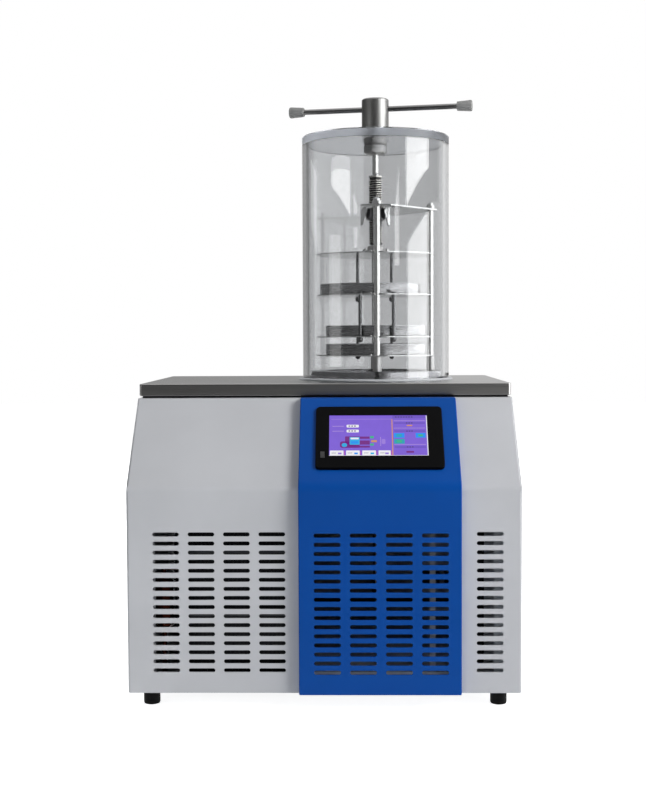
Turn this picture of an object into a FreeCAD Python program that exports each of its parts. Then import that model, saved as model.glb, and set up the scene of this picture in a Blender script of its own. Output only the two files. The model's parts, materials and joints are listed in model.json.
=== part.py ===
"""Bench-top freeze dryer with a clear drying chamber and a screw-driven stoppering rack.

Millimetres, +Z up, the front faces -Y. The origin is the centre of the footprint on the floor.
Each function below makes one piece, and the list at the end names the file it goes to.
"""
import FreeCAD
import Part

import math
import os

V = FreeCAD.Vector

# ---- driving dimensions ----------------------------------------------------------------------

# casing
CASE_W = 609.0
CASE_D = 563.0
CASE_H = 451.2
BEND_H = 317.7
SLOPE_RUN = 126.4
SHEET = 1.5
CORNER_R = 4.0
PAN_H = 32.5
PAN_GAP = 0.5
BEND_R = 12.0
LEDGE_D = 172.0
LIP_W = 12.0
FOOT_H = 25.0
FOOT_R = 13.0
FOOT_X = 272.5
FOOT_D = 35.0
REAR_REACH = 40.0

# raised front panel and its centre line, which the chamber shares
AXIS_X = 88.0
PANEL_W = 250.0
PANEL_SHIFT = -1.8
PANEL_PROUD = 15.0
PANEL_TOP = 452.2

# vent slots
SLOT_L = 41.2
SLOT_H = 6.2
SLOT_ROWS = 16
SLOT_PITCH = 14.12
SLOT_TOP = 247.2
LEFT_COLUMNS = [-80.1 - 54.7 * k for k in range(4)]
PANEL_COLUMNS = [AXIS_X + 55.2 * (k - 1.5) for k in range(4)]
RIGHT_COLUMNS = [255.8]

# rear louvres
LOUVRE_X = (-250.0, -120.0)
LOUVRE_LOW = 200.0
LOUVRE_H = 7.0
LOUVRE_PITCH = 20.0
LOUVRE_ROWS = 6

# stainless top plate
PLATE_D = 420.6
PLATE_T = 20.0
PLATE_SHEET = 2.0
PLATE_FLANGE = 16.0
PLATE_GAP = 3.1
PLATE_UNDER = CASE_H + PLATE_GAP
PLATE_TOP = PLATE_UNDER + PLATE_T

# inner frame
FRAME_X = 300.5
FRAME_D = 18.0
FRAME_LEG = 37.0
FRAME_SIDE_LEG = 25.0
FRAME_T = 2.0
FRAME_RAIL = 20.0
FRAME_STRIP = (164.0, 173.0)

# operating screen
HMI_W = 200.0
HMI_L = 127.0
HMI_LIFT = 5.0
HMI_CORNER = 7.0
HMI_START = 22.5
HMI_SHIFT = -1.0
HMI_BODY_IN = 8.0
HMI_BODY_T = 30.0
SCREEN_W = 154.3
SCREEN_L = 82.8
SCREEN_SHIFT = -1.5
SCREEN_START = 27.5
SCREEN_RECESS = 2.0
USB_X = (-5.5, 1.5)
USB_S = (44.0, 57.0)
USB_DEPTH = 3.0

# cold trap and drying chamber
AXIS_D = 353.0
MOUTH_R = 100.0
TRAP_DEPTH = 200.0
TUBE_R = 130.0
TUBE_WALL = 10.0
GASKET_T = 3.5
GASKET_R = 137.0
LID_T = 15.0
LID_TOP = 903.0
COLLAR_R = 115.5
COLLAR_H = 15.7
COLLAR_BORE = 88.0

# refrigeration, and the services at the rear
TRAP_WALL = 1.5
FOAM_HALF = 138.0
VACUUM_H = 395.0
PORT_BORE = 12.0
DRAIN_H = 70.0
LEVER_PIN_R = 2.0
INLET_X = 190.0
INLET_H = 80.0
SWITCH_X = 240.0
ROCKER_THROW = 18.0
ROCKER_PIN_R = 1.2
CONDENSER_X = (-222.0, -44.0)
CONDENSER_D = (44.0, 104.0)
CONDENSER_H = (12.0, 262.0)
FAN_X = -133.0
FAN_H = 137.0
FAN_R = 75.0
FAN_D = 126.0
FAN_SHAFT_R = 4.0
THROAT_L = 28.5
COMPRESSOR_X = -165.0
COMPRESSOR_D = 420.0
COMPRESSOR_H = 203.0
COMPRESSOR_TOP_R = 36.0
ELECTRICAL_X = (232.0, 292.0)
ELECTRICAL_D = (190.0, 500.0)
ELECTRICAL_TOP = 250.0

# stoppering rack
SHELF_R = 106.5
SHELF_T = 2.0
POST_R = 5.5
POST_AT = 98.0
SLEEVE_R = 7.5
PRESS_Z = 694.9
SHELF_Z = {"upper": 623.0, "middle": 550.0, "lower": 517.4}
TRAY_R = 90.0
TRAY_H = 19.0
TRAY_T = 1.0
TRAY_SHIFT = {"upper": -10.0, "middle": 0.0, "lower": 0.0}
BRIDGE_TOP = 775.5
BRIDGE_T = 3.0
BRIDGE_REACH = 109.0
BRIDGE_HALF = 27.0
BRIDGE_ARM = 13.0
BRIDGE_NIP = 3.0
SKIRT_R = 27.0
SKIRT_T = 2.5
SKIRT_H = 25.0
NUT_R = 17.5
NUT_H = 16.0
NUT_EDGE = 3.0
ROD_R = 3.0
HANGER_X = 32.0
HANGER_Y = 91.0
HANGER_FRONT_X = 28.0
HANGER_FRONT_Y = 93.0

# stoppering drive
HEAD_R = 23.9
HEAD_TOP = 970.5
HEAD_EDGE = 3.5
BAR_R = 4.75
BAR_H = 952.5
BAR_SPAN = 328.0
BAR_SLID = 8.0
BAR_TURN = -11.5
GRIP_L = 26.5
DRIVE_R = 5.3
KEY_AF = 9.0
SCREW_R = 12.5
SCREW_TOP = 835.0
SCREW_FOOT = 713.0
JOURNAL_R = 7.0
RUN_GAP = 0.05

# flat sides that stand in for a round wall, on large, plain and small pieces
LARGE_SIDES = 28
HEAD_SIDES = 20
PLAIN_SIDES = 16
SMALL_SIDES = 8
GRIP_SIDES = 10
ROD_SIDES = 6

# ---- places worked out from the driving dimensions -------------------------------------------

HALF_W = CASE_W / 2
FRONT_Y = -(CASE_D + REAR_REACH - PANEL_PROUD) / 2
BACK_Y = FRONT_Y + CASE_D
AXIS_Y = FRONT_Y + AXIS_D
PANEL_LEFT = AXIS_X + PANEL_SHIFT - PANEL_W / 2
PANEL_RIGHT = PANEL_LEFT + PANEL_W
SLOPE_ANGLE = math.degrees(math.atan2(CASE_H - BEND_H, SLOPE_RUN))
SLOPE_SIN = math.sin(math.radians(SLOPE_ANGLE))
SLOPE_COS = math.cos(math.radians(SLOPE_ANGLE))
TRAP_FLOOR = PLATE_TOP - PLATE_SHEET - TRAP_DEPTH
FOAM_FLOOR = TRAP_FLOOR - 35.0
GLAND_TOP = LID_TOP + 4.0
GLAND_FOOT = LID_TOP - LID_T - 16.0
POST_PLACES = [(AXIS_X, AXIS_Y - POST_AT), (AXIS_X + POST_AT, AXIS_Y), (AXIS_X, AXIS_Y + POST_AT)]
POST_FOOT = PLATE_TOP + COLLAR_H
STUD_R = 4.0


def up(height):
    """Z of a height above the casing's lower edge."""
    return FOOT_H + height


def back(depth):
    """Y of a depth behind the casing's front face."""
    return FRONT_Y + depth


# ---- building helpers ------------------------------------------------------------------------

def box(x0, x1, y0, y1, z0, z1):
    return Part.makeBox(x1 - x0, y1 - y0, z1 - z0, V(x0, y0, z0))


def disc(radius, x, y, z0, z1):
    return Part.makeCylinder(radius, z1 - z0, V(x, y, z0))


def bolt_hexagon(across_flats, x, y, z0, z1, turn=0.0):
    """Hexagonal prism standing on z0."""
    reach = across_flats / math.sqrt(3)
    angles = [math.radians(turn + 60 * k) for k in range(7)]
    points = [V(x + reach * math.cos(a), y + reach * math.sin(a), z0) for a in angles]
    return Part.Face(Part.makePolygon(points)).extrude(V(0, 0, z1 - z0))


def turned(profile, x, y, sides=0):
    """Solid of revolution about the vertical through x, y, from (radius, z) points.

    Given a number of sides, its round walls are that many flat ones.
    """
    if not sides:
        points = [V(x + r, y, z) for r, z in profile]
        face = Part.Face(Part.makePolygon(points + points[:1]))
        return face.revolve(V(x, y, 0), V(0, 0, 1), 360)
    step = 2 * math.pi / sides
    spokes = [V(math.cos(k * step), math.sin(k * step), 0) for k in range(sides)]
    faces = []
    for (r0, z0), (r1, z1) in zip(profile, profile[1:] + profile[:1]):
        if r0 == 0 and r1 == 0:
            continue
        for here, there in zip(spokes, spokes[1:] + spokes[:1]):
            points = [here * r0 + V(x, y, z0)]
            if r0 > 0:
                points.append(there * r0 + V(x, y, z0))
            points.append(there * r1 + V(x, y, z1))
            if r1 > 0:
                points.append(here * r1 + V(x, y, z1))
            faces.append(Part.Face(Part.makePolygon(points + points[:1])))
    shell = Part.makeShell(faces)
    shell.sewShape()
    solid = Part.makeSolid(shell)
    if solid.Volume < 0:
        solid.reverse()
    return solid.removeSplitter()


def prism(radius, x, y, z0, z1, sides):
    """Upright rod with flat sides."""
    return turned([(0, z0), (radius, z0), (radius, z1), (0, z1)], x, y, sides)


def ring(outer, inner, x, y, z0, z1, sides):
    """Upright tube with flat sides."""
    return turned([(inner, z0), (outer, z0), (outer, z1), (inner, z1)], x, y, sides)


def turned_along(profile, origin, axis, sides=0):
    """The same about a line, from (radius, distance along the line) points."""
    solid = turned(profile, 0, 0, sides)
    solid.Placement = FreeCAD.Placement(origin, FreeCAD.Rotation(V(0, 0, 1), axis))
    return solid


def side_profile(points, x0, x1):
    """Prism along X whose section is a list of (y, z) points."""
    corners = [V(x0, y, z) for y, z in points]
    return Part.Face(Part.makePolygon(corners + corners[:1])).extrude(V(x1 - x0, 0, 0))


def plan_profile(points, z0, z1):
    """Upright prism whose section is a list of (x, y) points."""
    corners = [V(x, y, z0) for x, y in points]
    return Part.Face(Part.makePolygon(corners + corners[:1])).extrude(V(0, 0, z1 - z0))


def round_edges(solid, radius, chosen):
    """Fillets the edges for which chosen(edge) is true."""
    edges = [edge for edge in solid.Edges if chosen(edge)]
    return solid.makeFillet(radius, edges)


def is_upright(edge):
    """True for a straight edge that runs along Z."""
    ends = [vertex.Point for vertex in edge.Vertexes]
    return len(ends) == 2 and abs((ends[1] - ends[0]).z) > 0.99 * edge.Length


def fuse_all(shapes):
    return shapes[0].multiFuse(shapes[1:]).removeSplitter()


def on_slope(shape):
    """Moves a shape drawn flat, with its origin on the bend line, onto the sloping face."""
    shape.Placement = FreeCAD.Placement(
        V(0, FRONT_Y, up(BEND_H)), FreeCAD.Rotation(V(1, 0, 0), SLOPE_ANGLE))
    return shape


def round_corner_plate(width, length, corner, x, y, z0, z1):
    """Flat plate with rounded corners, centred in X and starting at y."""
    plate = box(x - width / 2, x + width / 2, y, y + length, z0, z1)
    return round_edges(plate, corner, is_upright)


def slot_grid(columns, y0, y1):
    """Tools for the vent slots of some columns, square at their ends."""
    tools = []
    for x in columns:
        for row in range(SLOT_ROWS):
            z = up(SLOT_TOP - row * SLOT_PITCH)
            tools.append(box(x - SLOT_L / 2, x + SLOT_L / 2, y0, y1, z - SLOT_H / 2, z + SLOT_H / 2))
    return Part.makeCompound(tools)


# ---- casing ----------------------------------------------------------------------------------

def front_outline(inset, depth_end, low, top):
    """Side view of the casing's front: upright face, slope and flat top, set in by inset."""
    bend = BEND_H - inset * math.tan(math.radians((90 - SLOPE_ANGLE) / 2))
    crest = SLOPE_RUN + inset / SLOPE_SIN - (CASE_H - top) * SLOPE_COS / SLOPE_SIN
    return [(back(inset), up(low)), (back(inset), up(bend)), (back(crest), up(top)),
            (back(depth_end), up(top)), (back(depth_end), up(low))]


def bent_prism(inset, depth_end, low, top, x0, x1):
    """The casing's front outline as a prism, with its bend rounded."""
    prism = side_profile(front_outline(inset, depth_end, low, top), x0, x1)
    bend_z = front_outline(inset, depth_end, low, top)[1][1]

    def is_bend(edge):
        middle = edge.CenterOfMass
        return abs(middle.z - bend_z) < 0.01 and abs(middle.y - back(inset)) < 0.01

    radius = BEND_R - inset
    return round_edges(prism, radius, is_bend) if radius > 0.1 else prism


def side_cover(side):
    """Folded cover: front, slope and side in one sheet, with lips that turn in."""
    outer_x = side * HALF_W
    inner_x = PANEL_LEFT if side < 0 else PANEL_RIGHT
    x0, x1 = sorted((outer_x, inner_x))
    shell = bent_prism(0, CASE_D, 0, CASE_H, x0, x1)

    def is_front_corner(edge):
        middle = edge.CenterOfMass
        return abs(middle.x - outer_x) < 0.01 and middle.y < back(SLOPE_RUN - 1) and middle.z > up(1)

    shell = round_edges(shell, CORNER_R, is_front_corner)
    wall_x = outer_x - side * SHEET
    far_x = inner_x - side * 20
    hollow = bent_prism(SHEET, CASE_D + 20, -20, CASE_H - SHEET, *sorted((wall_x, far_x)))
    shell = shell.cut(hollow)
    lip_x = outer_x - side * 20
    opening = box(*sorted((lip_x, far_x)), back(LEDGE_D), back(CASE_D + 5), up(CASE_H - 5), up(CASE_H + 5))
    shell = shell.cut(opening)
    lip = bent_prism(0, LEDGE_D, PAN_H + PAN_GAP, CASE_H, *sorted((inner_x, inner_x + side * SHEET)))
    behind_lip = bent_prism(LIP_W, LEDGE_D + 30, -20, CASE_H - SHEET,
                            *sorted((inner_x - side, inner_x + side * 5)))
    lip = lip.cut(behind_lip)
    shell = shell.fuse(lip).removeSplitter()
    columns = LEFT_COLUMNS if side < 0 else RIGHT_COLUMNS
    return shell.cut(slot_grid(columns, back(-5), back(5)))


def left_cover():
    return side_cover(-1)


def right_cover():
    return side_cover(1)


def panel_block(inset, x0, x1, low, top, depth_end):
    """Solid between the casing's front faces and a surface that stands proud of them."""
    return bent_prism(inset - PANEL_PROUD, depth_end, low, top, x0, x1)


def front_panel():
    """Raised panel: a tray of sheet that stands proud of the covers and follows the bend."""
    outer = panel_block(0, PANEL_LEFT, PANEL_RIGHT, 0, PANEL_TOP, 160)
    outer = outer.cut(bent_prism(0, 200, -20, PANEL_TOP + 20, PANEL_LEFT - 5, PANEL_RIGHT + 5))
    inner = panel_block(SHEET, PANEL_LEFT + SHEET, PANEL_RIGHT - SHEET, SHEET, PANEL_TOP - SHEET, 160)
    tray = outer.cut(inner)
    middle = AXIS_X + HMI_SHIFT
    half = HMI_W / 2 - HMI_CORNER
    low, high = HMI_START + HMI_CORNER, HMI_START + HMI_L - HMI_CORNER
    window = box(middle - half, middle + half, low, high, -30, 40)
    tray = tray.cut(on_slope(window))
    return tray.cut(slot_grid(PANEL_COLUMNS, back(-PANEL_PROUD - 5), back(-5)))


def base_pan():
    """Folded tray that carries the machinery, with a lip all round."""
    gap = SHEET
    pan = box(-HALF_W + gap, HALF_W - gap, back(gap), back(CASE_D - gap), up(0), up(PAN_H))
    inside = box(-HALF_W + 2 * gap, HALF_W - 2 * gap, back(2 * gap), back(CASE_D - 2 * gap),
                 up(SHEET), up(50))
    pan = pan.cut(inside)
    air_slots = [box(-230 + 34 * k, -210 + 34 * k, back(180), back(300), up(-5), up(5)) for k in range(4)]
    return pan.cut(Part.makeCompound(air_slots))


def feet():
    """Four rubber feet, tapered at the lower edge."""
    places = [(x, back(d)) for x in (-FOOT_X, FOOT_X) for d in (FOOT_D, CASE_D - FOOT_D)]
    profile = [(0, 0), (FOOT_R - 3, 0), (FOOT_R, 3), (FOOT_R, FOOT_H), (0, FOOT_H)]
    return Part.makeCompound([turned(profile, x, y, SMALL_SIDES) for x, y in places])


def rear_panel():
    """Rear sheet with louvre slots and the openings for the services."""
    inset = 2 * SHEET
    sheet = box(-HALF_W + inset, HALF_W - inset, BACK_Y - SHEET, BACK_Y, up(PAN_H + PAN_GAP),
                up(CASE_H - inset))
    y0, y1 = BACK_Y - 5, BACK_Y + 5
    rows = [up(LOUVRE_LOW + LOUVRE_PITCH * k) for k in range(LOUVRE_ROWS)]
    louvres = [box(*LOUVRE_X, y0, y1, z, z + LOUVRE_H) for z in rows]
    port = turned_along([(0, -5), (14.2, -5), (14.2, 5), (0, 5)], V(AXIS_X, BACK_Y, up(VACUUM_H)),
                        V(0, 1, 0), PLAIN_SIDES)
    drain = turned_along([(0, -5), (8.2, -5), (8.2, 5), (0, 5)], V(AXIS_X, BACK_Y, up(DRAIN_H)),
                         V(0, 1, 0), SMALL_SIDES)
    inlet = box(INLET_X - 24, INLET_X + 24, y0, y1, up(INLET_H - 14), up(INLET_H + 14))
    switch = box(SWITCH_X - 15, SWITCH_X + 15, y0, y1, up(INLET_H - 11), up(INLET_H + 11))
    return sheet.cut(Part.makeCompound(louvres + [port, drain, inlet, switch]))


def angle_upright(side, depth, leg_depth, top):
    """Upright angle bar at a side wall: one leg along the wall, one across the front."""
    wall = side * FRAME_X
    across = box(*sorted((wall, wall - side * FRAME_LEG)), depth, depth + FRAME_T, up(SHEET), top)
    along = box(*sorted((wall, wall - side * FRAME_T)), *sorted((depth, depth + leg_depth)), up(SHEET), top)
    return fuse_all([across, along])


def frame():
    """Bolted inner frame of angle and flat bar, each bar butting against the next."""
    front = back(FRAME_D)
    mid = back(LEDGE_D)
    rear = back(CASE_D - 8)
    leg = FRAME_SIDE_LEG
    top = up(CASE_H - SHEET)
    shoulder = up(BEND_H - 15)
    bars = []
    for side in (-1, 1):
        bars.append(angle_upright(side, front, leg, shoulder))
        bars.append(angle_upright(side, mid, leg, top))
        bars.append(angle_upright(side, rear, -leg, top))
        wall = sorted((side * FRAME_X, side * (FRAME_X - FRAME_T)))
        bars.append(box(*wall, front + leg, mid, shoulder - FRAME_RAIL, shoulder))
        bars.append(box(*wall, mid + leg, rear - leg, top - FRAME_RAIL, top))
    reach = FRAME_X - FRAME_LEG
    bars.append(box(-reach, reach, front, front + FRAME_T, shoulder - FRAME_RAIL, shoulder))
    bars.append(box(-reach, reach, mid, mid + FRAME_T, top - 12, top))
    bars.append(box(-reach, reach, rear, rear + FRAME_T, top - FRAME_RAIL, top))
    bars.append(box(*FRAME_STRIP, front, front + FRAME_T, up(SHEET), shoulder - FRAME_RAIL))
    return Part.makeCompound(bars)


def top_plate():
    """Stainless worktop: a folded sheet pan with a return flange and the trap mouth."""
    y0 = back(CASE_D - PLATE_D)
    outer = box(-HALF_W, HALF_W, y0, BACK_Y, up(PLATE_UNDER), up(PLATE_TOP))
    skin = PLATE_SHEET
    hollow = box(-HALF_W + skin, HALF_W - skin, y0 + skin, BACK_Y - skin, up(PLATE_UNDER + skin),
                 up(PLATE_TOP - skin))
    flange = PLATE_FLANGE
    below = box(-HALF_W + flange, HALF_W - flange, y0 + flange, BACK_Y - flange,
                up(PLATE_UNDER - 5), up(PLATE_UNDER + 5))
    mouth = prism(MOUTH_R, AXIS_X, AXIS_Y, up(PLATE_TOP - 10), up(PLATE_TOP + 5), LARGE_SIDES)
    return outer.cut(hollow).cut(below).cut(mouth)


def plate_gasket():
    """Black sealing frame between the covers and the worktop."""
    y0 = back(CASE_D - PLATE_D)
    outer = box(-HALF_W + 5, HALF_W - 5, y0 + 5, BACK_Y - 5, up(CASE_H), up(PLATE_UNDER))
    inner = box(-HALF_W + 14, HALF_W - 14, y0 + 14, BACK_Y - 14, up(CASE_H - 5), up(PLATE_UNDER + 5))
    return outer.cut(inner)


# ---- operating screen ------------------------------------------------------------------------

def screen_block(low, high):
    """Block of the display's outline, drawn flat, between two heights above the slope."""
    middle = AXIS_X + HMI_SHIFT + SCREEN_SHIFT
    start = HMI_START + SCREEN_START
    return box(middle - SCREEN_W / 2, middle + SCREEN_W / 2, start, start + SCREEN_L, low, high)


def hmi_bezel():
    """Operating panel: rounded bezel on the slope with the electronics box behind it."""
    face = PANEL_PROUD
    top = face + HMI_LIFT
    middle = AXIS_X + HMI_SHIFT
    bezel = round_corner_plate(HMI_W, HMI_L, HMI_CORNER, middle, HMI_START, face, top)
    half = HMI_W / 2 - HMI_BODY_IN
    body = box(middle - half, middle + half, HMI_START + HMI_BODY_IN, HMI_START + HMI_L - HMI_BODY_IN,
               face - HMI_BODY_T, face)
    recess = screen_block(top - SCREEN_RECESS, top + 2)
    port = box(*USB_X, *USB_S, top - USB_DEPTH, top + 2)
    return on_slope(bezel.fuse(body).cut(recess).cut(port).removeSplitter())


def hmi_screen():
    """Display glass, seated in the bezel's recess."""
    top = PANEL_PROUD + HMI_LIFT
    return on_slope(screen_block(top - SCREEN_RECESS, top - 0.4))


def usb_cover():
    """Small rubber flap over the service socket beside the display."""
    top = PANEL_PROUD + HMI_LIFT
    return on_slope(box(*USB_X, *USB_S, top - USB_DEPTH, top + 0.6))


# ---- refrigeration and services --------------------------------------------------------------

def condenser_frame():
    """Bracket behind the left vents: two uprights and two cross bars."""
    left, right = CONDENSER_X
    d0, d1 = back(26), back(28)
    bars = [box(left, left + 9, d0, d1, up(SHEET), up(270)),
            box(right - 9, right, d0, d1, up(SHEET), up(270)),
            box(left, right, d0, d1, up(SLOT_TOP - 2 * SLOT_PITCH - 6), up(SLOT_TOP - 2 * SLOT_PITCH + 6)),
            box(left, right, d0, d1, up(SLOT_TOP - 9 * SLOT_PITCH - 6), up(SLOT_TOP - 9 * SLOT_PITCH + 6)),
            box(left, left + 2, d0, back(CONDENSER_D[0]), up(SHEET), up(270)),
            box(right - 2, right, d0, back(CONDENSER_D[0]), up(SHEET), up(270))]
    return fuse_all(bars)


def condenser():
    """Finned condenser block with its end plates and the return bends at one side."""
    left, right = CONDENSER_X
    d0, d1 = back(CONDENSER_D[0]), back(CONDENSER_D[1])
    z0, z1 = up(CONDENSER_H[0]), up(CONDENSER_H[1])
    core = [box(left + 2, right - 2, d0 + 4, d1 - 4, z0 + 4, z1 - 4)]
    ends = [box(left, left + 2, d0, d1, z0, z1), box(right - 2, right, d0, d1, z0, z1)]
    headers = [box(left - 12, left, d0 + 14, d0 + 22, z0 + 20 + 50 * k, z0 + 46 + 50 * k) for k in range(4)]
    return fuse_all(core + ends + headers)


def fan_shroud():
    """Square duct behind the condenser with a round throat for the fan."""
    left, right = CONDENSER_X
    low, high = CONDENSER_H
    plate_d = FAN_D - 8
    skin = SHEET
    duct = box(left, right, back(CONDENSER_D[1]), back(plate_d + skin), up(low), up(high))
    chest = box(left + skin, right - skin, back(CONDENSER_D[1] - 5), back(plate_d), up(low + skin),
                up(high - skin))
    centre = V(FAN_X, back(plate_d + skin), up(FAN_H))
    inner, outer = FAN_R + 4, FAN_R + 6
    y_axis = V(0, 1, 0)
    rim = turned_along([(inner, 0), (outer, 0), (outer, THROAT_L), (inner, THROAT_L)], centre, y_axis,
                       PLAIN_SIDES)
    throat = turned_along([(0, -20), (inner, -20), (inner, 10), (0, 10)], centre, y_axis, PLAIN_SIDES)
    return fuse_all([duct.cut(chest).cut(throat), rim])


def fan_motor():
    """Motor behind the fan, on a flat bar across the shroud's throat ring."""
    y_axis = V(0, 1, 0)
    profile = [(0, 34), (32, 34), (32, 84), (26, 89), (0, 89)]
    body = turned_along(profile, V(FAN_X, back(FAN_D), up(FAN_H)), y_axis, PLAIN_SIDES)
    shaft = Part.makeCylinder(FAN_SHAFT_R, 30, V(FAN_X, back(FAN_D + 4), up(FAN_H)), y_axis)
    reach = FAN_R + 6
    z0, z1 = up(FAN_H - 10), up(FAN_H + 10)
    bar = box(FAN_X - reach, FAN_X + reach, back(FAN_D + 22), back(FAN_D + 34), z0, z1)
    inside = reach - 14
    gap = box(FAN_X - inside, FAN_X + inside, back(FAN_D + 20), back(FAN_D + 31), up(FAN_H - 15),
              up(FAN_H + 15))
    return fuse_all([body, shaft, bar.cut(gap)])


def fan_rotor():
    """Five pitched blades on a hub that runs on the motor shaft."""
    centre = V(FAN_X, back(FAN_D), up(FAN_H))
    y_axis = V(0, 1, 0)
    hub = turned_along([(0, 0), (20, 0), (20, 18), (0, 18)], centre, y_axis, PLAIN_SIDES)
    blade = Part.makeBox(FAN_R - 22, 2, 26, V(16, -1, -13))
    blade.rotate(V(0, 0, 0), V(1, 0, 0), 62)
    blade.translate(V(centre.x, centre.y + 9, centre.z))
    blades = []
    for k in range(5):
        turned_blade = blade.copy()
        turned_blade.rotate(centre, y_axis, 72 * k)
        blades.append(turned_blade)
    bore = Part.makeCylinder(FAN_SHAFT_R + RUN_GAP, 40, V(centre.x, centre.y + 3.9, centre.z), y_axis)
    return fuse_all([hub] + blades).cut(bore)


def compressor():
    """Hermetic compressor: domed can on a foot plate, with its terminal box."""
    x, y = COMPRESSOR_X, back(COMPRESSOR_D)
    profile = [(0, up(28)), (68, up(28)), (78, up(38)), (80, up(96)), (78, up(168)), (66, up(190)),
               (COMPRESSOR_TOP_R, up(COMPRESSOR_H)), (0, up(COMPRESSOR_H))]
    can = turned(profile, x, y, PLAIN_SIDES)
    plate = box(x - 95, x + 95, y - 60, y + 60, up(22), up(28))
    terminals = box(x + 60, x + 106, y - 28, y + 28, up(110), up(160))
    return fuse_all([can, plate, terminals])


def compressor_mounts():
    """Rubber grommets under the compressor's foot plate."""
    x, y = COMPRESSOR_X, back(COMPRESSOR_D)
    places = [(x + sx * 80, y + sy * 46) for sx in (-1, 1) for sy in (-1, 1)]
    return Part.makeCompound([prism(11, px, py, up(SHEET), up(22), SMALL_SIDES) for px, py in places])


def bent_pipe(radius, points, bend):
    """Eight-sided pipe along straight runs, each bend drawn as three short straights."""
    route = [points[0]]
    for before, corner, after in zip(points, points[1:], points[2:]):
        way_in = (corner - before).normalize()
        way_out = (after - corner).normalize()
        half = math.acos(max(-1.0, min(1.0, way_in.dot(way_out)))) / 2
        trim = bend * math.tan(half)
        chord = 2 * bend * math.sin(half)
        lean = chord / 4
        enter = corner - way_in * trim
        leave = corner + way_out * trim
        route += [enter, enter + way_in * lean, leave - way_out * lean, leave]
    route.append(points[-1])
    heading = (points[1] - points[0]).normalize()
    sides = 8
    turn = 2 * math.pi / sides
    angles = [(k + 0.5) * turn for k in range(sides + 1)]
    section = Part.makePolygon([V(radius * math.cos(a), radius * math.sin(a), 0) for a in angles])
    section.Placement = FreeCAD.Placement(points[0], FreeCAD.Rotation(V(0, 0, 1), heading))
    square_corners = 1
    return Part.makePolygon(route).makePipeShell([section], True, False, square_corners)


def discharge_pipe():
    """Hot gas line from the compressor's top to the condenser's header."""
    x, y = COMPRESSOR_X, back(COMPRESSOR_D)
    header_x = CONDENSER_X[0] - 6
    header_y = back(CONDENSER_D[0] + 18)
    points = [V(x - 20, y, up(COMPRESSOR_H)), V(x - 20, y, up(285)), V(header_x, y, up(285)),
              V(header_x, header_y, up(285)), V(header_x, header_y, up(CONDENSER_H[0] + 216))]
    return bent_pipe(4.0, points, 14.0)


def suction_pipe():
    """Cold gas line from the trap's insulation back to the compressor."""
    x, y = COMPRESSOR_X, back(COMPRESSOR_D)
    points = [V(AXIS_X - FOAM_HALF, y - 18, up(300)), V(x + 18, y - 18, up(300)),
              V(x + 18, y - 18, up(COMPRESSOR_H))]
    return bent_pipe(5.0, points, 18.0)


def filter_drier():
    """Copper drier cartridge under the condenser's outlet, standing on the base pan by its lower neck."""
    x = CONDENSER_X[0] - 34
    profile = [(0, up(SHEET)), (4, up(SHEET)), (4, up(84)), (15, up(94)), (15, up(166)), (4, up(176)),
               (4, up(190)), (0, up(190))]
    cartridge = turned(profile, x, back(CONDENSER_D[0] + 18), SMALL_SIDES)
    near, far = back(CONDENSER_D[0] + 15), back(CONDENSER_D[0] + 21)
    link = box(x, CONDENSER_X[0] - 12, near, far, up(182), up(188))
    return cartridge.fuse(link).removeSplitter()


def electrical_box():
    """Closed control box standing on the base pan at the right, behind the inlet's wiring space."""
    front, rear = ELECTRICAL_D
    return box(*ELECTRICAL_X, back(front), back(rear), up(SHEET), up(ELECTRICAL_TOP))


def cold_trap():
    """Stainless bucket hung below the worktop's mouth, with its drain outlet."""
    rim_top = up(PLATE_TOP - PLATE_SHEET)
    floor = up(TRAP_FLOOR)
    outer = MOUTH_R + TRAP_WALL
    profile = [(0, floor - TRAP_WALL), (outer, floor - TRAP_WALL), (outer, rim_top - 2),
               (MOUTH_R + 18, rim_top - 2), (MOUTH_R + 18, rim_top), (MOUTH_R, rim_top),
               (MOUTH_R, floor), (0, floor)]
    bucket = turned(profile, AXIS_X, AXIS_Y, LARGE_SIDES)
    drain = prism(5, AXIS_X, AXIS_Y, floor - 5, floor + 5, SMALL_SIDES)
    port = turned_along([(0, -20), (11, -20), (11, 40), (0, 40)], V(AXIS_X, AXIS_Y + MOUTH_R, up(VACUUM_H)),
                        V(0, 1, 0), PLAIN_SIDES)
    return bucket.cut(Part.makeCompound([drain, port]))


def trap_insulation():
    """Foam block round the bucket."""
    top = up(PLATE_TOP - PLATE_SHEET - 2)
    block = box(AXIS_X - FOAM_HALF, AXIS_X + FOAM_HALF, AXIS_Y - FOAM_HALF, AXIS_Y + FOAM_HALF,
                up(FOAM_FLOOR), top)
    cavity = prism(MOUTH_R + TRAP_WALL, AXIS_X, AXIS_Y, up(TRAP_FLOOR - TRAP_WALL), top + 5, LARGE_SIDES)
    drain = prism(7, AXIS_X, AXIS_Y, up(FOAM_FLOOR - 5), up(TRAP_FLOOR), SMALL_SIDES)
    port = turned_along([(0, 1), (14, 1), (14, 60), (0, 60)], V(AXIS_X, AXIS_Y + MOUTH_R, up(VACUUM_H)),
                        V(0, 1, 0), PLAIN_SIDES)
    return block.cut(Part.makeCompound([cavity, drain, port]))


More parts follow.
